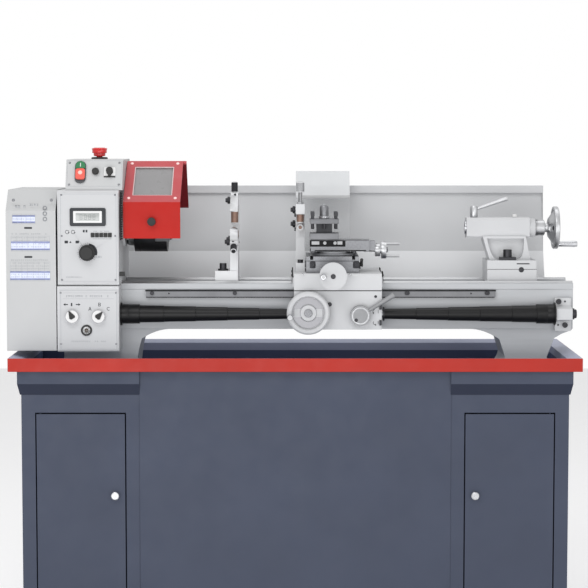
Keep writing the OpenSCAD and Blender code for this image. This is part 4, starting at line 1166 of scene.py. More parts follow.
@dataclass
class Headstock:
    """Headstock casting with the speed panel and its display."""

    display_low: Flat = (-574.0, 1086.0)
    display_high: Flat = (-482.0, 1132.5)

    def build(self) -> None:
        """Dresses the headstock and prints its panel."""
        dress(["headstock"], CAST_GREY, 1.6)
        dress(["spindle_bearings"], GROUND_STEEL, 0.8)
        dress(["control_panel"], PLATE, 0.8)
        dress(["speed_knob"], BLACK_PLASTIC, 1)
        self.panel()
        self.display()
        self.speed_dial()
        self.side_trim()

    def panel(self) -> None:
        """Prints border, symbols and screws of the speed panel."""
        plate = Span.of("control_panel")
        y = plate.low.y + 2
        x0, x1, z0, z1 = plate.low.x, plate.high.x, plate.low.z, plate.high.z
        lines = Piece()
        frame_lines(lines, (x0 + 4, z0 + 4), (x1 - 4, z1 - 4), y, 0.7)
        text_row(lines, (x0 + 81, 1071.5), 54, 2.6, y, 16, 31)
        text_row(lines, (x0 + 84, 1052.5), 50, 2.6, y, 14, 32)
        text_row(lines, (x0 + 50, 1005), 16, 4.4, y, 4, 33)
        text_row(lines, (x0 + 94, 1005), 16, 4.4, y, 4, 34)
        text_row(lines, (x0 + 18, 954), 44, 3, y, 12, 35)
        lines.finish("speed_panel_lines", "machine", INK_GREY)
        signs = Piece()
        for centre in ((-581, 1071), (-566, 1071)):
            signs.printed(bow(centre, 5.2, 4, 20, 340, 20), y)
            signs.printed(moved([(2, -3.2), (6.6, -1.8), (3.6, 1.2)], centre), y)
        for x in (-541, -534):
            signs.printed(rect((x, 1070), (x + 4.6, 1076.5)), y)
        for x in (-588, -560):
            signs.printed(rounded((x, 1042), (x + 9, 1049), 1.5), y)
        signs.printed([(-576, 1043), (-570, 1043), (-573, 1048.5)], y)
        signs.finish("speed_panel_signs", "machine", INK_BLACK)
        screws = Piece()
        for x in (x0 + 7, x1 - 6.5):
            for z in (z0 + 8, 1061, z1 - 6.5):
                screws.turned([(2.6, 0), (2.2, 0.9), (1, 1.3), (0, 1.3)], (x, y, z), Axis.Y, 18, -1)
        screws.finish("speed_panel_screws", "machine", MILLED_STEEL)

    def display(self) -> None:
        """Builds the display's frame, glass and key strip."""
        plate = Span.of("control_panel")
        y = plate.low.y
        outline = rounded(self.display_low, self.display_high, 5, 5)
        Piece().prism(outline, y - 1.4, y + 1, Axis.Y, 0.5).finish(
            "display_frame", "machine",
            Finish("display_frame_grey", linear(50, 52, 56), 0.4, spread=0.04, scale=40),
        )
        Piece().prism(
            rounded((-565, 1094.5), (-492, 1124.5), 1.6), y - 1.9, y - 1.2, Axis.Y, 0.2
        ).finish("display_border", "machine", WHITE_PLASTIC)
        Piece().prism(
            rounded((-558.5, 1099.5), (-498.5, 1119.5), 1), y - 2.3, y - 1.6, Axis.Y, 0.15
        ).finish("display_glass", "machine", DISPLAY_GREY)
        segments = Piece()
        for index in range(4):
            x = -548 + index * 11
            for u, v, wide, tall in (
                (0, 0, 6, 0.9), (0, 6, 6, 0.9), (0, 12, 6, 0.9), (0, 0.4, 0.9, 12), (5.4, 0.4, 0.9, 12)
            ):
                segments.prism(moved(rect((u, v), (u + wide, v + tall)), (x, 1102.8)), y - 2.4, y - 2.2, Axis.Y)
        segments.finish(
            "display_digits", "machine",
            Finish("display_digits", linear(120, 124, 122), 0.5, spread=0.03, scale=60),
        )
        keys = Piece()
        for index in range(5):
            x = -521 + index * 10.9
            keys.prism(rounded((x, 1057.5), (x + 10.1, 1069), 1.4), y + 0.2, y + 1.2, Axis.Y, 0.3)
        keys.finish("panel_key_strip", "machine", BLACK_PLASTIC)

    def speed_dial(self) -> None:
        """Adds the scale, the crescent, the cap and the grips of the speed knob."""
        knob = Span.of("speed_knob")
        x, z = knob.middle.x, knob.middle.z
        face = Span.of("control_panel").low.y + 2
        scale = Piece()
        for index in range(25):
            angle = math.radians(-45 + 270 * index / 24)
            inner, outer, width = 22.5, 26.5 if index % 4 == 0 else 24.8, 0.35
            u, v = math.cos(angle), math.sin(angle)
            corners = ((inner, -width), (outer, -width), (outer, width), (inner, width))
            scale.printed(
                [(x + u * along - v * side, z + v * along + u * side) for along, side in corners], face
            )
        scale.finish("speed_scale", "machine", INK_BLACK)
        Piece().printed(
            arc((x + 3, z + 1), 22.6, -20, 85, 14) + arc((x, z), 15, -20, 85, 10)[::-1], face
        ).finish("speed_crescent", "machine", INK_BLACK)
        Piece().turned(
            [(0, 0), (15.4, 0), (15.6, 1), (14.6, 1.8), (0, 2)], (x, knob.low.y + 1.2, z), Axis.Y, 36, -1
        ).finish("speed_knob_cap", "speed_knob", BLACK_PLASTIC)
        skirt = Piece()
        for index in range(24):
            centre = on_circle((x, z), 20, math.tau * index / 24)
            skirt.bar(
                (centre[0], knob.low.y + 12, centre[1]), (centre[0], knob.low.y + 23, centre[1]), 1.1, steps=8
            )
        skirt.finish("speed_knob_grips", "speed_knob", BLACK_PLASTIC)

    def side_trim(self) -> None:
        """Adds a notched dark strip and the guard's stop beside the panel."""
        head = Span.of("control_panel")
        x = head.high.x + 3
        strip = Piece()
        for index in range(20):
            z = 1052 + index * 6
            strip.block((x + 2.2, head.high.y - 1, z), (x + 9, head.high.y + 5, z + 4.4), 0.8)
        strip.block((x + 2.2, head.high.y + 2, 1050), (x + 5, head.high.y + 6, 1172), 0.6)
        strip.finish("notched_dark_strip", "machine", RUBBER)
        Piece().block(
            (x, head.high.y, 958), (x + 13, head.high.y + 14, 969), 1.2
        ).finish("guard_stop_block", "machine", BLACK_PLASTIC)


@dataclass
class FeedGearbox:
    """Feed gearbox with its printed panel and sight glass."""

    glass_at: Flat = (-533.0, 820.0)

    def build(self) -> None:
        """Dresses the gearbox and prints its panel."""
        dress(["feed_gearbox"], CAST_GREY, 1.6)
        dress(["feed_panel"], PLATE, 0.8)
        dress(["feed_direction_knob", "feed_range_knob"], WHITE_PLASTIC, 1.2)
        plate = Span.of("feed_panel")
        y = plate.high.y - 2
        x0, x1, z0, z1 = plate.low.x, plate.high.x, plate.low.z, plate.high.z
        lines = Piece()
        frame_lines(lines, (x0 + 3, z0 + 3), (x1 - 3, z1 - 3), y, 0.7)
        for z in (915.5, 900.5):
            lines.printed(rect((x0 + 9, z), (x1 - 9, z + 0.6)), y)
        text_row(lines, (x0 + 18, 905), 110, 4.4, y, 20, 41)
        text_row(lines, (x0 + 30, 790), 90, 3, y, 18, 42)
        lines.finish("feed_panel_lines", "machine", INK_GREY)
        arrow = [(-1, -0.2), (0.1, -0.2), (0.1, -0.6), (1, 0), (0.1, 0.6), (0.1, 0.2), (-1, 0.2)]
        signs = Piece()
        for x, size in ((-586, -6), (-554, 6)):
            signs.printed(moved(arrow, (x, 886), size), y)
        signs.printed(rect((-572.6, 882), (-568.8, 890)), y)
        self.letters(signs, y)
        signs.finish("feed_panel_signs", "machine", INK_BLACK)
        screws = Piece()
        for x in (x0 + 3.5, x1 - 4.5):
            for z in (785, 916):
                screws.screw((x, y, z), FRONT, 2.6, 1.2)
        screws.finish("feed_panel_screws", "machine", MILLED_STEEL)
        self.sight_glass(y)
        self.pointer("feed_direction_knob", 118)
        self.pointer("feed_range_knob", 48)

    def letters(self, work: Piece, y: float) -> None:
        """Prints the letters A, B and C round the range knob.

        Args:
            work: Piece of printed marks.
            y: Place of the casting's face.
        """
        line = 1.5
        at = (-524, 875)
        work.printed(moved([(-4, -4.5), (-2.2, -4.5), (0.2, 4.5), (-1, 4.5)], at), y)
        work.printed(moved([(2.2, -4.5), (4, -4.5), (1, 4.5), (-0.4, 4.5)], at), y)
        work.printed(moved(rect((-2, -1.8), (2.4, -0.6)), at), y)
        at = (-499.5, 886)
        work.printed(moved(rect((-3, -4.5), (-3 + line, 4.5)), at), y)
        for low in (-4.5, -0.7, 3.2):
            work.printed(moved(rect((-3, low), (2.2, low + 1.3)), at), y)
        for low in (-3.6, 0.4):
            work.printed(moved(rect((1.4, low), (1.4 + line, low + 3.2)), at), y)
        work.printed(bow((-476.5, 875), 4.6, 3.2, 45, 315, 16), y)

    def sight_glass(self, y: float) -> None:
        """Builds the oil sight glass: black ring, white field and dark eye.

        Args:
            y: Place of the casting's face.
        """
        x, z = self.glass_at
        ring = Piece()
        ring.ring(
            [(9.2, 2), (14.2, 2), (14.2, 4.8), (13, 5.8), (10.4, 5.8), (9.2, 4.8)], (x, y + 2, z), Axis.Y, 40
        )
        for vert in ring.bm.verts:
            vert.co.y = (y + 2) * MM - (vert.co.y - (y + 2) * MM)
        bmesh.ops.recalc_face_normals(ring.bm, faces=ring.bm.faces)
        ring.finish("sight_glass_ring", "machine", BLACK_PLASTIC)
        Piece().turned(
            [(0, 0), (9.6, 0), (9.6, 1.6), (0, 1.6)], (x, y + 0.6, z), Axis.Y, 36, -1
        ).finish("sight_glass_field", "machine", WHITE_PLASTIC)
        Piece().turned([(0, 0), (5.4, 0), (5, 1), (2.6, 1.8), (0, 2)], (x, y - 0.8, z), Axis.Y, 28, -1).finish(
            "sight_glass_eye", "machine",
            Finish("oil_dark", linear(58, 48, 40), 0.1, spread=0.1, scale=80, coat=0.8),
        )

    def pointer(self, node: str, turn: float) -> None:
        """Adds the dark rim and the black pointer of a feed knob.

        Args:
            node: Node of the knob.
            turn: Direction of the pointer in degrees from X.
        """
        knob = Span.of(node)
        x, z = knob.middle.x, knob.middle.z
        y = knob.low.y
        angle = math.radians(turn)
        u = Vector((math.cos(angle), 0, math.sin(angle)))
        v = Vector((-u.z, 0, u.x))
        Piece().ring(
            [(15.9, 0), (17.3, 0), (17.3, 1.6), (15.9, 1.6)], (x, y - 0.8, z), Axis.Y, 40
        ).finish(f"{node}_rim", node, DARK_STEEL)
        corners = [
            Vector((x, 0, z)) + u * a + v * b
            for a, b in ((-6, -5), (-2, -8), (16, -1.2), (16, 1.2), (-2, 8), (-6, 5))
        ]
        Piece().prism(
            [(corner.x, corner.z) for corner in corners], y - 1.8, y, Axis.Y
        ).finish(f"{node}_pointer", node, BLACK_PLASTIC)


@dataclass
class SwitchBox:
    """Switch box with its buttons, in the plane of its leaning front."""

    lean_deg: float = 23.0
    rim: float = 7.0

    def build(self) -> None:
        """Dresses the box and builds the parts on its front."""
        dress(["switch_box"], SHEET_GREY, 1.4)
        dress(["start_button"], GREEN_PLASTIC, 0.8)
        dress(["stop_button"], CORAL_PLASTIC, 0.8)
        dress(["jog_button", "direction_switch"], BLACK_PLASTIC, 1)
        dress(["emergency_stop"], RED_PLASTIC, 2)
        self.front_trim()
        self.button_parts()
        self.stop_parts()

    def face(self) -> Matrix:
        """Finds where the box's sloping front lies.

        Returns:
            The matrix from the front's own X, Z and outward -Y to the frame.
        """
        box = Span.of("switch_box")
        origin = Vector((0, box.low.y, box.low.z + self.rim))
        return Matrix.Translation(origin) @ Matrix.Rotation(-math.radians(self.lean_deg), 4, "X")

    def front_trim(self) -> None:
        """Adds the printed border, the corner screws and the button bezels."""
        box = Span.of("switch_box")
        place = self.face()
        x0, x1 = box.low.x, box.high.x
        lines = Piece(place)
        frame_lines(lines, (x0 + 3.4, 3), (x1 - 3.4, 74), 0, 0.6)
        lines.finish("switch_front_border", "machine", INK_GREY)
        screws = Piece(place)
        for x in (x0 + 9, x1 - 9):
            for z in (8, 68):
                screws.turned([(3, 0), (2.6, 1), (1.2, 1.5), (0, 1.5)], (x, 0, z), Axis.Y, 18, -1)
        screws.finish("switch_front_screws", "machine", MILLED_STEEL)
        outline = arc((x0 + 37.5, 57), 14.6, 0, 180, 16) + arc((x0 + 37.5, 24), 14.6, 180, 360, 16)
        Piece(place).prism(outline, -4.1, -3, Axis.Y, 0.4).finish(
            "start_stop_bezel", "machine", Finish("bezel_dark", linear(70, 72, 75), 0.4, spread=0.06, scale=50)
        )
        Piece(place).prism(
            rounded((x0 + 97.5, 31.5), (x0 + 126.5, 55), 1.4), -2.6, -1.4, Axis.Y, 0.3
        ).finish("direction_plate", "machine", WHITE_PLASTIC)
        Piece(place).prism(
            rect((x0 + 97.5, 27.6), (x0 + 126.5, 31.2)), -2, -0.2, Axis.Y
        ).finish("direction_plate_foot", "machine", BLACK_PLASTIC)

    def button_parts(self) -> None:
        """Adds caps and signs of the start and stop buttons, the jog button and the turn switch."""
        box = Span.of("switch_box")
        place = self.face()
        x = box.low.x + 37.5
        Piece(place).prism(
            arc((x, 57), 12.4, 0, 180, 16) + [(x - 12.4, 49.6), (x + 12.4, 49.6)], -9, -6.2, Axis.Y, 0.8
        ).finish("start_cap", "start_button", GREEN_PLASTIC)
        Piece(place).prism(
            rect((x - 0.9, 54), (x + 0.9, 64)), -9.4, -9, Axis.Y
        ).finish("start_sign", "start_button", WHITE_PLASTIC)
        Piece(place).prism(
            rounded((x - 12.2, 19), (x + 12.2, 48.6), 6), -10.9, -6.4, Axis.Y, 0.8
        ).finish("stop_cap", "stop_button", CORAL_PLASTIC)
        Piece(place).prism(arc((x, 37), 5.4, 0, 360, 24)[:-1], -11.3, -10.9, Axis.Y).finish(
            "stop_sign", "stop_button",
            Finish("stop_sign_pale", linear(244, 190, 180), 0.4, spread=0.02, scale=60),
        )
        Piece(place).turned(
            [(0, 0), (8.2, 0), (8.4, 1.6), (7.2, 2.8), (0, 3)], (box.low.x + 76, -9, 42), Axis.Y, 30, -1
        ).finish("jog_cap", "jog_button", BLACK_PLASTIC)
        ux, uz = box.low.x + 112, 43
        Piece(place).prism(
            arc((ux, uz), 8.6, -50, 230, 22) + [(ux - 2.6, uz - 15), (ux + 2.6, uz - 15)], -14.8, -3.2, Axis.Y,
            0.8,
        ).finish("direction_grip", "direction_switch", BLACK_PLASTIC)

    def stop_parts(self) -> None:
        """Adds the dark collar and the body of the emergency stop."""
        stop = Span.of("emergency_stop")
        x, y = stop.middle.x, stop.middle.y
        Piece().ring(
            [(16.2, 0), (21.4, 0), (21.4, 2.6), (19, 4.4), (16.2, 4.6)], (x, y, stop.high.z - 29), Axis.Z, 40
        ).finish("emergency_collar", "machine", BLACK_PLASTIC)
        body = Piece()
        body.turned([(11, 0), (15, 1), (15.6, 7), (15, 13.5), (11, 14)], (x, y, stop.high.z - 22.4), Axis.Z, 40)
        body.turned(
            [(10, 0), (18.6, 0.4), (20.2, 1.8), (20.2, 3.4), (18, 5), (10, 5.2)], (x, y, stop.high.z - 6),
            Axis.Z, 40,
        )
        body.finish("emergency_body", "emergency_stop", RED_PLASTIC)


@dataclass
class ChuckAndGuard:
    """Chuck, its jaws and the red guard with its pane."""

    guard_front: float = -150.0
    break_up: float = 72.0
    ridge_y: float = -5.0
    key_turns: Tuple[int, ...] = (60, 180, 300)

    def build(self) -> None:
        """Dresses chuck and guard and adds their small parts."""
        dress(["spindle"], GROUND_STEEL, 0.8)
        dress(["chuck_body"], CHUCK_STEEL, 1.4)
        dress(["chuck_jaw_1", "chuck_jaw_2", "chuck_jaw_3"], MILLED_STEEL, 0.5)
        dress(["chuck_guard"], GUARD_RED_LIT_TOP_SHADED_BACK, 1)
        dress(["guard_window"], CLEAR_WINDOW, 0)
        dress(["spindle_pulley", "motor_pulley", "idler_gear"], GROUND_STEEL, 0)
        dress(["drive_belt"], BELT, 0)
        dress(["motor"], DARK_STEEL, 1)
        self.chuck_parts()
        self.jaw_parts()
        self.flange_bolts()
        self.guard_parts()

    def chuck_parts(self) -> None:
        """Adds the grooves and the key sockets of the chuck."""
        chuck = Span.of("chuck_body")
        x0, x1 = chuck.low.x, chuck.high.x
        z = chuck.middle.z
        rings = Piece()
        for x, wide in ((x0 + 13, 1.2), (x0 + 53, 1)):
            rings.ring([(62.3, 0), (62.62, 0), (62.62, wide), (62.3, wide)], (x, 0, z), Axis.X, 96)
        rings.finish("chuck_grooves", "spindle", SEAM_AND_SHADE_DARK)
        keys = Piece()
        for turn in self.key_turns:
            out = outward(turn)
            centre = Vector((x0 + 30, 0, z)) + out * 55
            keys.spun([(4.9, 0), (4.9, 5), (3.4, 5), (3.4, 0.4), (0, 0.4)], centre, out, 4)
        keys.finish("chuck_key_sockets", "spindle", DARK_STEEL)
        face = Piece()
        face.ring([(17.6, 0), (24, 0), (24, 0.5), (17.6, 0.5)], (x1 - 0.2, 0, z), Axis.X, 64)
        for turn in self.key_turns:
            face.screw(Vector((x1, 0, z)) + outward(turn) * 46, RIGHT, 5, 0.7)
        face.finish("chuck_face_screws", "spindle", BLACK_OXIDE)

    def jaw_parts(self) -> None:
        """Adds the serrated gripping strips of the three jaws."""
        chuck = Span.of("chuck_body")
        z = chuck.middle.z
        for index, turn in enumerate((0, 120, 240)):
            jaw = Span.of(f"chuck_jaw_{index + 1}")
            strip = Piece(Matrix.Translation((0, 0, z)) @ Matrix.Rotation(math.radians(turn), 4, "X"))
            for step in range(9):
                x = jaw.high.x - 3 - step * 2.2
                strip.block((x, -3, 17.2), (x + 1.2, 3, 18.2), 0.2)
            strip.finish(f"jaw_{index + 1}_serration", f"jaw_{index + 1}", DARK_STEEL)

    def flange_bolts(self) -> None:
        """Adds the nuts behind the chuck flange."""
        spindle = Span.of("spindle")
        z = spindle.middle.z
        nuts = Piece()
        for turn in (30, 150, 270):
            centre = (spindle.high.x - 16, *on_circle((0, z), 38, math.radians(turn)))
            nuts.turned([(0, 0), (5.6, 0), (6.2, 1), (6.2, 5), (5.6, 6), (0, 6)], centre, Axis.X, 6, -1)
        nuts.finish("flange_nuts", "spindle", BLACK_OXIDE)

    def guard_parts(self) -> None:
        """Adds the knob, the pane's frame, the screws and the hinge of the guard."""
        guard = Span.of("chuck_guard")
        axis_z = Span.of("chuck_body").middle.z
        x0 = guard.low.x
        x1 = guard.high.x - 9
        middle = (x0 + x1) / 2
        Piece().turned(
            [(0, -1), (6, -1), (6, 3), (10.2, 5), (11, 8), (10.2, 14.8), (7, 16.2), (0, 16.5)],
            (middle, self.guard_front, axis_z + 22), Axis.Y, 32, -1,
        ).finish("guard_knob", "chuck_guard", BLACK_PLASTIC)
        break_z = axis_z + self.break_up
        rise = guard.high.z - break_z
        run = self.ridge_y - self.guard_front
        length = math.hypot(rise, run)
        lean = math.atan2(rise, run)
        place = Matrix.Translation((0, self.guard_front, break_z)) @ Matrix.Rotation(lean, 4, "X")
        low, high = length * 0.16, length * 0.86
        left, right = x0 + 22, x1 - 22
        rim = Piece(place)
        for a, b in (
            ((left, low), (right, low + 2.4)), ((left, high - 2.4), (right, high)),
            ((left, low + 2.4), (left + 2.4, high - 2.4)), ((right - 2.4, low + 2.4), (right, high - 2.4)),
        ):
            rim.block((a[0], a[1], -3.4), (b[0], b[1], -0.6), 0.4)
        rim.finish(
            "guard_window_rim", "chuck_guard",
            Finish("pane_gasket", linear(206, 186, 186), 0.5, spread=0.03, scale=60),
        )
        screws = Piece(place)
        for x in (x0 + 13.5, x1 - 13.5):
            for along in (length * 0.09, length * 0.93):
                screws.turned(
                    [(4.4, -0.5), (4.4, 0.8), (3.6, 1.9), (2, 2.4), (0, 2.4)], (x, along, 0), Axis.Z, 22
                )
        screws.finish(
            "guard_screws", "chuck_guard",
            Finish("guard_screw_heads", linear(232, 196, 194), 0.4, 0.3, spread=0.03, scale=60),
        )
        pivot_y, pivot_z = 105, axis_z + 120
        Piece().turned(
            [(0, 0), (9, 0), (9.6, 0.8), (9.6, 4), (8.6, 5), (0, 5)], (x0 + 6.4, pivot_y, pivot_z), Axis.X, 6
        ).finish("guard_pivot_nut", "machine", BLACK_OXIDE)


@dataclass
class LeadscrewCovers:
    """Leadscrew and the two spiral covers between the machine and the carriage."""

    turns: int = 5
    wide: float = 22.6
    narrow: float = 14.4
    bore: float = 10.8

    def build(self) -> None:
        """Dresses the screw and builds the spiral covers."""
        dress(["leadscrew"], GROUND_STEEL, 0)
        screw = Span.of("leadscrew").middle
        left = Span.of("leadscrew_cover_left")
        right = Span.of("leadscrew_cover_right")
        self.cover("left", left, screw, 1)
        self.cover("right", right, screw, -1)

    def cover(self, side: str, box: Span, screw: Vector, sign: float) -> None:
        """Builds one cover: a cup on the machine and a spiral band to the carriage.

        Args:
            side: Left or right.
            box: Box of the solid that the cover stands for.
            screw: Middle of the leadscrew.
            sign: One where the cover narrows towards higher X.
        """
        fixed = box.low.x if sign > 0 else box.high.x
        moving = box.high.x if sign > 0 else box.low.x
        length = abs(moving - fixed)
        Piece().turned(
            [
                (self.bore, 0), (29, 0), (29.6, 0.6), (29.6, 3.4), (25.2, 4), (25.2, 20), (24.9, 20.6),
                (25.2, 21.2), (25.2, 48), (24.4, 49), (22, 49), (22, 4), (self.bore, 4),
            ],
            (fixed, screw.y, screw.z), Axis.X, 56, sign,
        ).finish(f"spiral_cup_{side}", "machine", SPIRAL_BLACK)
        inner_end, start = length - 3, 30
        pitch = (inner_end - start) / self.turns
        profile = [(self.bore, 3), (self.wide - 1.5, 3)]
        for index in range(self.turns):
            radius = self.wide + (self.narrow - self.wide) * index / (self.turns - 1)
            low = start + index * pitch
            profile += [
                (radius - 0.5, low), (radius, low + 0.6), (radius - 1.2, low + pitch - 0.6),
                (radius - 1.7, low + pitch),
            ]
        profile.append((self.bore, inner_end))
        band = Piece().turned(profile, (fixed, screw.y, screw.z), Axis.X, 56, sign)
        piece = band.unridden(f"spiral_band_{side}", SPIRAL_BLACK)
        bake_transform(piece)
        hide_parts(f"leadscrew_cover_{side}")
        Piece().turned(
            [(self.bore, 0), (17.4, 0), (18, 0.8), (18, 3.4), (17.4, 4), (self.bore, 4)],
            (moving, screw.y, screw.z), Axis.X, 40, -sign,
        ).finish(f"spiral_collar_{side}", "carriage", BLACK_OXIDE)


@dataclass
class Apron:
    """Saddle and apron with the handwheel and the half-nut lever."""

    lever_at: Flat = (166.7, 857.0)

    def build(self) -> None:
        """Dresses saddle and apron and adds their fittings."""
        dress(["saddle"], CAST_GREY, 1.8)
        dress(["apron"], CAST_GREY, 2)
        dress(["carriage_handwheel"], WHEEL_PAINT, 0.8)
        dress(
            ["half_nut_lever"], Finish("lever_satin", linear(138, 139, 141), 0.45, 0.2, spread=0.06, scale=40),
            0.8,
        )
        saddle = Span.of("saddle")
        apron = Span.of("apron")
        front = apron.low.y
        self.wipers(saddle)
        self.prints(front)
        self.screws(front)
        self.wheel_parts()
        self.lever_parts()
        Piece().block(
            (apron.low.x + 0.4, front - 0.5, apron.high.z - 1.1),
            (apron.high.x - 0.4, front + 1, apron.high.z + 1.1), 0.2,
        ).finish("apron_seam", "carriage", SEAM_AND_SHADE_DARK)

    def wipers(self, saddle: Span) -> None:
        """Adds the black way wipers with their screws.

        Args:
            saddle: Extent of the saddle.
        """
        wiper = Piece()
        screws = Piece()
        for x, out in ((saddle.low.x - 1.6, -1), (saddle.high.x + 1.6, 1)):
            for y0, y1 in ((-102, -62), (52, 90)):
                wiper.block((min(x, x - out * 3), y0, 937.5), (max(x, x - out * 3), y1, 965), 1)
                screws.screw((x, (y0 + y1) / 2, 955), Vector((out, 0, 0)), 3, 1.8)
        wiper.finish("way_wipers", "carriage", RUBBER)
        screws.finish("way_wiper_screws", "carriage", BLACK_OXIDE)

    def prints(self, y: float) -> None:
        """Prints the open and closed signs beside the lever.

        Args:
            y: Place of the apron's face.
        """
        signs = Piece()
        for centre, turn in (((205, 866), 100), ((206, 838), 150)):
            end = turn + 120
            signs.printed(bow(centre, 6.5, 5.2, turn, end, 12), y)
            tip = on_circle(centre, 5.8, math.radians(end))
            signs.printed(moved([(-2.6, 1), (1.6, 2.6), (0.8, -2.6)], tip), y)
            foot = centre[1] - 4
            signs.printed(rect((212, foot), (213.4, foot + 8)), y)
        signs.finish("apron_signs", "carriage", INK_BLACK)

    def screws(self, front: float) -> None:
        """Adds the dark screws on the front of apron and saddle.

        Args:
            front: Place of the apron's face.
        """
        screws = Piece()
        screws.screw((88.5, front, 885), FRONT, 5.4, 3.2)
        screws.screw((12, front, 905), FRONT, 3.6, 1.2)
        screws.screw((206, front, 905), FRONT, 3.6, 1.2)
        screws.finish("apron_screws", "carriage", BLACK_OXIDE)
        heads = Piece()
        for z0, z1 in ((872, 889), (831, 845)):
            heads.block((215.5, front - 8, z0), (221.6, front + 2, z1), 1.6)
        heads.finish("apron_side_bolts", "carriage", BLACK_OXIDE)
        cup = Piece()
        for x in (18, 140):
            cup.turned(
                [(0, -1), (3.6, -1), (3.6, 0.6), (2.4, 1), (1.4, 1.6), (0, 1.9)],
                (x, -156, Span.of("saddle").low.z + 62), Axis.Z, 20,
            )
        cup.finish("saddle_oilers", "carriage", CHROME)

    def wheel_parts(self) -> None:
        """Adds the hub, the dial and the turning handle of the handwheel."""
        wheel = Span.of("carriage_handwheel")
        x = (wheel.low.x + wheel.high.x) / 2
        z = wheel.middle.z
        back = wheel.high.y - 12
        Piece().turned(
            [(0, 0), (9.6, 0), (10.4, 1), (10.4, 2.4), (9.4, 3.4), (5, 3.6), (4.6, 2), (0, 2)],
            (x, back - 26.6, z), Axis.Y, 36, -1,
        ).finish("carriage_wheel_hub", "carriage_handwheel", MILLED_STEEL)
        Piece().ring(
            [(22.6, 0), (39.2, 0), (39.2, 0.6), (22.6, 0.6)], (x, back - 19.5, z), Axis.Y, 56
        ).finish("carriage_wheel_web", "carriage_handwheel", DARK_STEEL)
        Piece().block(
            (x - 36, back - 20.6, z - 10.5), (x + 36, back - 19.7, z + 10.5), 0.3
        ).finish("carriage_wheel_bridge", "carriage_handwheel", WHEEL_PAINT)
        Piece().scale_marks((x, back, z), Axis.Y, 16.2, 60, (3.6, 2.2), 0.16, 3).finish(
            "carriage_dial_marks", "carriage_handwheel", INK_BLACK
        )
        handle_x, handle_z = wheel.low.x + 8.5, z - 8
        Piece().turned(
            [(0, 0), (5.6, 0), (6, 1), (6.4, 12), (7.6, 24), (8.2, 34), (7.4, 40), (5, 43.4), (0, 44.4)],
            (handle_x, wheel.low.y + 44.5, handle_z), Axis.Y, 28, -1,
        ).finish("carriage_wheel_grip", "carriage_handwheel", CHROME)

    def lever_parts(self) -> None:
        """Adds the boss screw and the bright ring of the half-nut lever."""
        lever = Span.of("half_nut_lever")
        x, z = self.lever_at
        front = lever.low.y
        screw = Piece()
        screw.screw((x - 11, front + 0.4, z - 11), FRONT, 4.6, 1.6)
        screw.finish("lever_boss_screw", "half_nut_lever", BLACK_OXIDE)
        ring = Piece()
        ring.ring([(19, 0), (22, 0), (21.4, 0.8), (19.6, 0.8)], (x, front - 0.4, z), Axis.Y, 48)
        ring.finish("lever_boss_ring", "half_nut_lever", GROUND_STEEL)


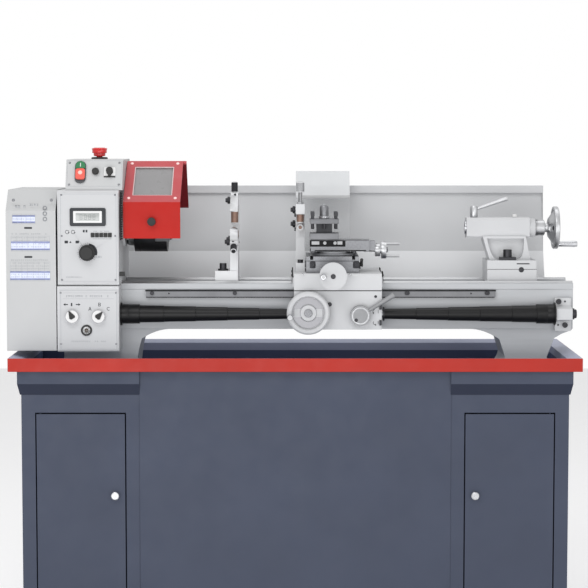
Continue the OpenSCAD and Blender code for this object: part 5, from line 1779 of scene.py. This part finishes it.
@dataclass
class CrossSlide:
    """Cross slide, swivel with its scale, and top slide with its screw and gib."""

    screw_y: float = -20.0
    gib_y: float = -52.0
    scale_z: float = 1010.3
    scale_radius: float = 61.0

    def build(self) -> None:
        """Dresses the slides and adds gibs, bolts, dials and grips."""
        dress(["cross_slide"], MILLED_STEEL, 1)
        dress(["cross_slide_crank"], WHEEL_PAINT, 1)
        dress(["compound_base"], MILLED_STEEL, 0.6)
        dress(["top_slide"], MILLED_STEEL, 1)
        dress(["top_slide_crank"], TURNED_ALLOY, 0.8)
        self.cross_parts()
        self.crank_parts()
        self.swivel_parts()
        self.top_parts()
        self.top_crank_parts()

    def cross_parts(self) -> None:
        """Adds gib screws, stop bolts, the lock lever and the painted shade on the slots' floors of the cross
        slide.
        """
        slide = Span.of("cross_slide")
        front, foot, end = slide.low.y, slide.low.z, slide.high.x
        screws = Piece()
        for index in range(5):
            y = front + 22 + index * 34
            screws.screw((end, y, foot + 11), RIGHT, 3.6, 2)
            screws.bar((end, y, foot + 11), (end + 5, y, foot + 11), 2)
        screws.finish("cross_gib_screws", "cross_slide", BLACK_OXIDE)
        blocks = Piece()
        for x0, x1 in ((37.6, 52.7), (149, 165.6)):
            blocks.block((x0, front - 3, foot + 11.6), (x1, front + 3, foot + 29.4), 3)
            blocks.screw(((x0 + x1) / 2, front - 3, foot + 20), FRONT, 4.6, 3)
        blocks.block((slide.low.x + 0.6, front - 0.4, foot + 29.6), (end - 0.6, front + 0.6, foot + 31.2), 0)
        blocks.finish("cross_stop_bolts", "cross_slide", BLACK_OXIDE)
        lever = Piece()
        lever.bar((end, front + 24, foot + 20), (end + 11, front + 24, foot + 20), 5.5)
        lever.bar((end + 7, front + 22, foot + 22), (end + 7, front + 4, foot + 34), 3.4, 4.2)
        lever.finish("cross_lock_lever", "cross_slide", BLACK_PLASTIC)
        # Painted shade: the floors of the two slots are painted dark.
        slots = Piece()
        for x in (slide.low.x + 14, end - 14):
            slots.block(
                (x - 3.8, front + 0.4, slide.high.z - 7.9), (x + 3.8, slide.high.y - 0.4, slide.high.z - 7.4), 0
            )
        slots.finish("cross_slot_floor_shade", "cross_slide", SEAM_AND_SHADE_DARK)

    def crank_parts(self) -> None:
        """Adds the crank's boss, its dial marks and its turning handle."""
        crank = Span.of("cross_slide_crank")
        x, z = crank.middle.x, crank.middle.z
        disc_front = crank.low.y + 24
        Piece().turned(
            [(0, 0), (5.4, 0), (6.2, 0.8), (6.2, 2), (5.2, 2.8), (0, 2.8)], (x, disc_front + 0.2, z), Axis.Y,
            28, -1,
        ).finish("cross_crank_screw", "cross_slide_crank", BLACK_OXIDE)
        Piece().turned(
            [(0, 0), (5.8, 0), (6.4, 1.2), (6.6, 8), (7.6, 16), (7.8, 20), (6.4, 23.4), (0, 24)],
            (x - 25, disc_front + 0.4, z), Axis.Y, 28, -1,
        ).finish("cross_crank_grip", "cross_slide_crank", CHROME)
        Piece().scale_marks((x, -168, z), Axis.Y, 30.1, 80, (4, 2.4), 0.18, 0).finish(
            "cross_dial_marks", "cross_slide_crank", INK_BLACK
        )

    def swivel_parts(self) -> None:
        """Adds the swivel's scale and its two clamping bolts."""
        swivel = Span.of("compound_base")
        cx = swivel.middle.x
        centre = Vector((cx, self.screw_y, self.scale_z))
        marks = Piece()
        for index in range(-12, 13):
            angle = math.radians(-90 + index * 5)
            long = 5 if index % 3 == 0 else 3
            u = Vector((math.cos(angle), math.sin(angle), 0))
            start = centre + u * (self.scale_radius - long)
            marks.bar(start, centre + u * self.scale_radius, 0.35, steps=6, soft=0.05)
        marks.finish("swivel_scale", "compound_base", INK_BLACK)
        bolts = Piece()
        for x in (cx - 53, cx + 53):
            bolts.screw((x, -32, 1014.4), UP, 8.4, 8)
        bolts.finish("swivel_bolts", "compound_base", BLACK_OXIDE)

    def top_parts(self) -> None:
        """Adds the gib face with its pads and screws, the painted shade along the slide's foot, the oilers and
        the seam.
        """
        slide = Span.of("top_slide")
        y = self.gib_y
        z0, z1 = slide.low.z, 1045
        face = Piece()
        face.block((38, y - 0.8, 1027.6), (131, y + 0.4, z1 - 0.6), 0.4)
        # Painted shade: a dark strip along the foot of the top slide, where it overhangs the narrower base.
        face.block((51, y - 0.6, z0 + 0.6), (185, y + 0.4, z0 + 3.4), 0.4)
        face.finish("top_gib_face_and_foot_shade", "top_slide", RUBBER)
        bright = Piece()
        for x0, x1 in ((43, 63), (110, 123)):
            bright.block((x0, y - 1.4, 1033), (x1, y - 0.6, 1041.6), 0.3)
        for x in (77.3, 104):
            bright.screw((x, y - 0.8, 1037), FRONT, 4.4, 1.2)
        bright.finish("top_gib_pads", "top_slide", WHEEL_PAINT)
        oilers = Piece()
        for x in (128, 176):
            oilers.turned([(0, -1), (3.4, -1), (3.4, 0.4), (2.2, 0.8), (0, 1.5)], (x, -36, z1), Axis.Z, 18)
        oilers.finish("top_oilers", "top_slide", CHROME)
        Piece().block(
            (131, y - 0.3, z1 - 1.4), (192.2, y + 0.5, z1 - 0.4), 0.1
        ).finish("top_slide_seam", "top_slide", SEAM_AND_SHADE_DARK)

    def top_crank_parts(self) -> None:
        """Adds the dial marks and the nut of the top slide's crank."""
        crank = Span.of("top_slide_crank")
        z = crank.middle.z
        x = crank.high.x - 64
        Piece().scale_marks(
            (x, self.screw_y, z), Axis.X, 17.1, 50, (3.6, 2.2), 0.16, 2
        ).finish("top_dial_marks", "top_slide_crank", INK_BLACK)
        Piece().turned(
            [(0, 0), (7, 0), (7.6, 0.8), (7.6, 3.2), (6.4, 4.4), (0, 4.6)], (x + 29, self.screw_y, z), Axis.X, 6
        ).finish("top_crank_nut", "top_slide_crank", MILLED_STEEL)


@dataclass
class ToolPost:
    """Four-way tool post with its bolts and clamping lever."""

    half: float = 37.7
    bolt_out: float = 30.5

    def build(self) -> None:
        """Dresses the post and adds its plates, its bolts and the lever's nut."""
        dress(["tool_post"], Finish("post_dark_steel", linear(62, 63, 66), 0.5, 0.1, spread=0.1, scale=30), 0.8)
        dress(["tool_post_lever"], CHROME, 0.8)
        post = Span.of("tool_post")
        cx, cy = post.middle.x, post.middle.y
        half = self.half
        top = post.high.z - 18
        Piece().block((cx - half, cy - half, top - 12.2), (cx + half, cy + half, top + 0.2), 1.2).finish(
            "tool_post_top", "tool_post",
            Finish("post_top_steel", linear(112, 113, 116), 0.45, 0.4, spread=0.1, scale=30),
        )
        low = post.low.z
        Piece().block((cx - half, cy - half, low - 0.1), (cx + half, cy + half, low + 16.2), 1.2).finish(
            "tool_post_base", "tool_post",
            Finish("post_base_steel", linear(122, 123, 126), 0.45, 0.4, spread=0.1, scale=30),
        )
        bolts = Piece()
        for u, v in ((-1, -1), (-1, 1), (1, -1), (1, 1)):
            x, y = cx + u * self.bolt_out, cy + v * self.bolt_out
            bolts.bar((x, y, top - 26), (x, y, top + 9), 4)
            bolts.turned(
                [(0, 0), (6.4, 0), (6.8, 0.8), (6.8, 8.6), (6, 9.8), (0, 9.8)], (x, y, top + 8), Axis.Z, 4
            )
        for u, v in ((0, -1), (0, 1), (-1, 0), (1, 0)):
            x, y = cx + u * self.bolt_out, cy + v * self.bolt_out
            bolts.bar((x, y, top - 26), (x, y, top - 11), 4.2)
        bolts.finish("tool_post_bolts", "tool_post", BLACK_OXIDE)
        lever = Span.of("tool_post_lever")
        Piece().turned(
            [
                (0, 0), (13, 0), (13.6, 0.8), (13.6, 4.6), (11.6, 6), (11.4, 18), (12, 28), (9.6, 33.4),
                (5.4, 35), (0, 35.2),
            ],
            (cx, cy, lever.low.z + 0.4), Axis.Z, 40,
        ).finish("tool_post_nut", "tool_post_lever", MILLED_STEEL)


@dataclass
class ChipShield:
    """Clear chip shield on the back of the saddle."""

    def build(self) -> None:
        """Dresses the shield and adds its strips and screws."""
        dress(["chip_shield"], CLEAR_SHIELD, 0)
        shield = Span.of("chip_shield")
        x0, x1 = shield.low.x, shield.high.x
        Piece().block(
            (x0 + 15, shield.low.y - 1.6, 1149.5), (x1, shield.low.y - 0.2, 1156.5), 0.5
        ).finish("shield_fold_strip", "carriage", SHEET_GREY)
        foot = Piece()
        foot.block(
            (x0 + 2, shield.low.y - 1.2, shield.low.z + 1), (x1 - 2, shield.low.y - 0.2, shield.low.z + 22), 0.5
        )
        for x in (x0 + 18, x1 - 18):
            foot.screw((x, shield.low.y - 1.2, shield.low.z + 12), FRONT, 4.4, 1.2)
        foot.finish("shield_foot_strip", "carriage", DARK_STEEL)


@dataclass
class Knurled:
    """A knurled knob on a screw, drawn over the plain knob of the frame."""

    radius: float = 10.4
    length: float = 27.0

    def add(self, work: Piece, base: Sequence[float], direction: Vector) -> None:
        """Adds the knurled sleeve to a piece.

        Args:
            work: Piece that takes the knob.
            base: Middle of the knob's foot.
            direction: Direction of its axis.
        """
        direction = direction.normalized()
        radius = self.radius
        end = self.length
        work.spun(
            [
                (radius - 2.4, 0), (radius - 0.6, 1.4), (radius - 0.6, end - 1.4), (radius - 2.4, end),
                (radius - 5, end + 0.5), (0, end + 0.5),
            ],
            base, direction, 36,
        )
        side = direction.orthogonal().normalized()
        other = direction.cross(side)
        for index in range(26):
            angle = math.tau * index / 26
            out = side * math.cos(angle) + other * math.sin(angle)
            centre = Vector(base) + out * (radius - 0.5)
            work.bar(centre + direction * 2, centre + direction * (end - 2), 0.75, steps=6, soft=0.2)


LOCK_SCREW = [(0, 0), (6, 0), (9.6, 3), (10, 8), (6, 9.4), (5.4, 14), (0, 14.4)]


@dataclass
class Rests:
    """Follow rest on the saddle and steady rest on the bed."""

    def build(self) -> None:
        """Dresses both rests and adds knobs, fingers and bolts."""
        dress(["follow_rest", "steady_rest"], REST_WHITE, 1.6)
        self.follow()
        self.steady()

    def follow(self) -> None:
        """Adds knob, stem, finger, lock screws and bolt of the follow rest."""
        rest = Span.of("follow_rest")
        x = rest.high.x - 11.5
        axis_z = Span.of("chuck_body").middle.z
        knob = Piece()
        Knurled().add(knob, (x, 0, axis_z + 93), UP)
        knob.finish("follow_knob", "carriage", MILLED_STEEL)
        stem = Piece()
        stem.bar((x, 0, axis_z + 60), (x, 0, axis_z + 94), 5.2)
        for index in range(12):
            stem.ring([(5, 0), (5.7, 0.6), (5, 1.2)], (x, 0, axis_z + 66 + index * 2.2), Axis.Z, 20)
        stem.turned([(5.2, 0), (9, 0), (9, 5), (5.2, 6)], (x, 0, axis_z + 62), Axis.Z, 6)
        stem.finish("follow_stem", "carriage", GROUND_STEEL)
        finger = Piece()
        finger.turned([(0, 0), (4, 0), (9.3, 4), (9.3, 32), (0, 32)], (x, 0, axis_z + 11.6), Axis.Z, 32)
        finger.turned([(0, 0), (4, 0), (9.3, 4), (9.3, 26), (0, 26)], (x, 11.6, axis_z), Axis.Y, 32)
        finger.finish("follow_fingers", "carriage", BRONZE)
        locks = Piece()
        for y, z in ((6, axis_z + 47), (50, axis_z + 8)):
            locks.spun(LOCK_SCREW, (x - 11.5, y, z), LEFT, 24)
            locks.bar((x - 11.5, y - 4, z - 14), (x - 15.5, y - 4, z - 14), 5)
        locks.bar((x, -46, rest.low.z + 21), (x, -46, rest.low.z + 30.6), 7.4)
        locks.finish("follow_screws", "carriage", BLACK_OXIDE)

    def steady(self) -> None:
        """Adds knobs, fingers, hinge and bolt of the steady rest."""
        rest = Span.of("steady_rest")
        x = rest.high.x - 10
        axis_z = Span.of("chuck_body").middle.z
        slim = Knurled(radius=8.2)
        knobs = Piece()
        stems = Piece()
        fingers = Piece()
        locks = Piece()
        for turn in (0, 118, 242):
            out = outward(turn)
            centre = Vector((x, 0, axis_z))
            slim.add(knobs, centre + out * 93, out)
            stems.spun([(5.4, 84), (5.4, 94)], centre, out, 20)
            for index in range(5):
                stems.spun(
                    [(5.2, 85 + index * 1.8), (6, 85.9 + index * 1.8), (5.2, 86.6 + index * 1.8)], centre, out,
                    20,
                )
            stems.spun([(5.2, 84.4), (11, 84.4), (11.6, 85.2), (11.6, 89), (11, 90), (5.2, 90)], centre, out, 6)
            fingers.spun([(0, 10.4), (4, 10.4), (9.4, 14), (9.4, 50), (0, 50)], centre, out, 32)
            lock = centre + out * 72 + Vector((-10, 0, 0))
            locks.spun(LOCK_SCREW, lock, LEFT, 24)
        knobs.finish("steady_knobs", "steady_rest", BLACK_OXIDE)
        stems.finish("steady_stems", "steady_rest", BLACK_OXIDE)
        fingers.finish("steady_fingers", "steady_rest", BRONZE)
        locks.finish("steady_lock_screws", "steady_rest", BLACK_OXIDE)
        hinge = Piece()
        hinge.bar((x, 70, axis_z - 8), (x, 70, axis_z + 16), 6.5)
        hinge.turned(
            [(0, 0), (9, 0), (9.4, 0.8), (9.4, 9), (8.6, 10), (0, 10)], (x, 70, axis_z + 14), Axis.Z, 6
        )
        hinge.finish("steady_hinge", "steady_rest", DARK_STEEL)
        Piece().turned(
            [(0, 0), (13.4, 0), (13.8, 0.8), (13.8, 4.2), (9.2, 4.8), (9.2, 18), (8.4, 19), (0, 19)],
            (rest.low.x + 20, -48, rest.low.z + 30), Axis.Z, 28,
        ).finish("steady_foot_bolt", "steady_rest", BLACK_OXIDE)


@dataclass
class Tailstock:
    """Tailstock with quill, handwheel and lock lever."""

    def build(self) -> None:
        """Dresses the tailstock and adds its fittings."""
        dress(["tailstock_base", "tailstock_body"], CAST_GREY, 2)
        dress(["quill"], CHROME, 0.8)
        dress(["tailstock_handwheel"], TURNED_ALLOY, 0.8)
        dress(["quill_lock_lever"], TURNED_ALLOY, 0.6)
        self.body_parts()
        self.quill_parts()
        self.wheel_parts()
        self.lever_parts()

    def body_parts(self) -> None:
        """Adds the seam, the oiler, the clamping nut and the set screws."""
        body = Span.of("tailstock_body")
        base = Span.of("tailstock_base")
        Piece().block(
            (base.low.x + 0.8, base.low.y - 0.2, base.high.z - 0.6),
            (base.high.x - 0.8, base.low.y + 0.6, base.high.z + 0.6), 0.1,
        ).finish("tailstock_seam", "tailstock", SEAM_AND_SHADE_DARK)
        Piece().turned(
            [(0, -1), (5.4, -1), (5.4, 1), (6.4, 1.4), (6.4, 7), (5.4, 8.6), (0, 9.2)],
            (577, 0, body.high.z - 0.6), Axis.Z, 26,
        ).finish("tailstock_oiler", "tailstock", WHITE_PLASTIC)
        block_z = body.low.z + 31
        nut = Piece()
        nut.turned(
            [(0, 0), (11, 0), (11.2, 0.8), (11.2, 19), (10.2, 20), (0, 20)], (554, -46, block_z), Axis.Z, 24
        )
        nut.block((532.6, -58.4, body.low.z + 23.2), (575.4, -35.6, block_z + 0.4), 1)
        nut.finish("tailstock_clamp_nut", "tailstock", BLACK_OXIDE)
        Piece().turned(
            [(0, -1), (7, -1), (7, 0.6), (5, 1.4), (0, 1.4)], (589, base.low.y, 968), Axis.Y, 20, -1
        ).finish("tailstock_front_screw", "tailstock", BLACK_OXIDE)
        screws = Piece()
        screws.block((577, body.low.y - 0.4, 982), (610, body.low.y + 0.6, 985), 0.3)
        screws.screw((base.high.x, -30, base.low.z + 17), RIGHT, 5, 2)
        screws.finish("tailstock_set_screws", "tailstock", BLACK_OXIDE)

    def quill_parts(self) -> None:
        """Adds the nose ring of the quill and the collar of its barrel."""
        quill = Span.of("quill")
        axis_z = quill.middle.z
        ring = Piece()
        ring.ring([(9.6, -0.2), (17.2, -0.2), (17.4, 0.3), (9.6, 0.3)], (quill.low.x, 0, axis_z), Axis.X, 56)
        ring.finish("quill_nose_ring", "quill", GROUND_STEEL)
        body = Span.of("tailstock_body")
        Piece().ring(
            [(17.7, 0), (26, 0), (26.6, 0.8), (26.6, 5), (17.7, 5)], (body.low.x - 0.4, 0, axis_z), Axis.X, 64
        ).finish("quill_collar", "tailstock", GROUND_STEEL)

    def wheel_parts(self) -> None:
        """Adds the dial, the hub nut and the turning handle."""
        wheel = Span.of("tailstock_handwheel")
        axis_z = wheel.middle.z
        x = wheel.high.x - 111.6
        Piece().turned(
            [(19, 1), (20.6, 1.6), (20.6, 23.4), (19, 24)], (x, 0, axis_z), Axis.X, 56
        ).finish("tail_dial", "tailstock_handwheel", TURNED_ALLOY)
        Piece().scale_marks(
            (x, 0, axis_z), Axis.X, 20.7, 60, (6, 3.6), 0.2, 2.2
        ).finish("tail_dial_marks", "tailstock_handwheel", INK_BLACK)
        Piece().turned(
            [(0, 0), (9, 0), (9.6, 0.8), (9.6, 6.6), (8.6, 8), (0, 8.4)], (x + 43, 0, axis_z), Axis.X, 6
        ).finish("tail_wheel_nut", "tailstock_handwheel", BLACK_OXIDE)
        Piece().turned(
            [(0, 0), (6.6, 0), (7.2, 1.2), (7.2, 10), (7.6, 30), (8.2, 44), (7.4, 50), (4.6, 51.4), (0, 51.6)],
            (x + 60, 0, axis_z - 43), Axis.X, 28,
        ).finish("tail_wheel_grip", "tailstock_handwheel", CHROME)

    def lever_parts(self) -> None:
        """Adds the hub cap of the quill lock lever."""
        lever = Span.of("quill_lock_lever")
        x = lever.low.x + 10
        Piece().turned(
            [(0, 0), (8.6, 0), (7.6, 2.2), (3, 3.4), (0, 3.6)], (x, 0, 1130.2), Axis.Z, 28
        ).finish("quill_lever_cap", "quill_lock_lever", TURNED_ALLOY)


@dataclass
class Studio:
    """Camera, lights, floor and backdrop."""

    camera_at: Point = (-0.003, -5.148, 1.305)
    tilt_deg: float = 85.5
    lens: float = 119.88
    sky: float = 0.62
    floor_glow: float = 0.2

    def build(self) -> None:
        """Sets up the whole stage."""
        self.camera()
        self.world()
        self.lamps()
        self.floor()
        scene = bpy.context.scene
        scene.view_settings.view_transform = "Standard"

    def camera(self) -> None:
        """Places the camera level with the machine's top."""
        data = bpy.data.cameras.new("camera")
        data.sensor_width = 36
        data.lens = self.lens
        lens = bpy.data.objects.new("camera", data)
        lens.location = self.camera_at
        lens.rotation_euler = (math.radians(self.tilt_deg), 0, 0)
        bpy.context.scene.collection.objects.link(lens)
        bpy.context.scene.camera = lens

    def world(self) -> None:
        """Makes the surroundings white to the camera and soft grey to the lighting."""
        world = bpy.data.worlds.new("surroundings")
        bpy.context.scene.world = world
        world.use_nodes = True
        tree = world.node_tree
        soft, white = tree.nodes["Background"], tree.nodes.new("ShaderNodeBackground")
        for ground, strength in ((soft, self.sky), (white, 1)):
            ground.inputs["Color"].default_value = WHITE
            ground.inputs["Strength"].default_value = strength
        rays = tree.nodes.new("ShaderNodeLightPath")
        mix = tree.nodes.new("ShaderNodeMixShader")
        seen = rays.outputs["Is Camera Ray"]
        for kind in ("Is Glossy Ray", "Is Transmission Ray"):
            either = tree.nodes.new("ShaderNodeMath")
            either.operation = "MAXIMUM"
            tree.links.new(seen, either.inputs[0])
            tree.links.new(rays.outputs[kind], either.inputs[1])
            seen = either.outputs[0]
        tree.links.new(seen, mix.inputs["Fac"])
        tree.links.new(soft.outputs["Background"], mix.inputs[1])
        tree.links.new(white.outputs["Background"], mix.inputs[2])
        tree.links.new(mix.outputs["Shader"], tree.nodes["World Output"].inputs["Surface"])

    def lamp(self, name: str, at: Point, aim: Point, power: float, size: Flat) -> None:
        """Adds one soft lamp.

        Args:
            name: Name of the lamp.
            at: Its place in metres.
            aim: The point that it faces.
            power: Its power in watts.
            size: Width and height of its panel in metres.
        """
        data = bpy.data.lights.new(name, "AREA")
        data.shape = "RECTANGLE"
        data.size, data.size_y = size
        data.energy = power
        lamp = bpy.data.objects.new(name, data)
        lamp.location = at
        direction = Vector(aim) - Vector(at)
        lamp.rotation_euler = direction.to_track_quat("-Z", "Y").to_euler()
        bpy.context.scene.collection.objects.link(lamp)

    def lamps(self) -> None:
        """Adds the key lamp over the front and the fills."""
        self.lamp("key", (-0.8, -2.4, 3.2), (0, 0, 1), 34, (2.4, 1.4))
        self.lamp("fill", (1.8, -3, 1.2), (0.1, 0, 0.9), 16, (2, 1.6))
        self.lamp("low", (-0.6, -2.8, 0.5), (0, 0, 0.9), 24, (2.4, 0.8))
        self.lamp("top", (0, 0.4, 3.4), (0, 0, 1), 18, (2.6, 1.6))

    def floor(self) -> None:
        """Adds a pale floor that keeps the part's shadow and looks white."""
        mesh = bpy.data.meshes.new("floor")
        mesh.from_pydata([(-6, -6, 0), (6, -6, 0), (6, 6, 0), (-6, 6, 0)], [], [(0, 1, 2, 3)])
        floor = bpy.data.objects.new("floor", mesh)
        bpy.context.scene.collection.objects.link(floor)
        pale = Finish("floor_pale", linear(242, 242, 243), 0.8, spread=0.004, scale=1, relief=0.001).material()
        shader = pale.node_tree.nodes["Principled BSDF"]
        shader.inputs["Emission Color"].default_value = WHITE
        shader.inputs["Emission Strength"].default_value = self.floor_glow
        mesh.materials.append(pale)


def main() -> None:
    """Builds every sub-assembly and the stage."""
    logging.basicConfig(level=logging.INFO, format="%(name)s: %(message)s")
    parts = [
        Stand(), Tray(), Bed(), SplashGuard(), GearCover(), Headstock(), FeedGearbox(), SwitchBox(),
        ChuckAndGuard(), LeadscrewCovers(), Apron(), CrossSlide(), ToolPost(), ChipShield(), Rests(),
        Tailstock(),
    ]
    for part in parts:
        LOG.info("building %s", type(part).__name__)
        part.build()
    Studio().build()


if __name__ == "__main__":
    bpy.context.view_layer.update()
    main()
    bpy.context.view_layer.update()
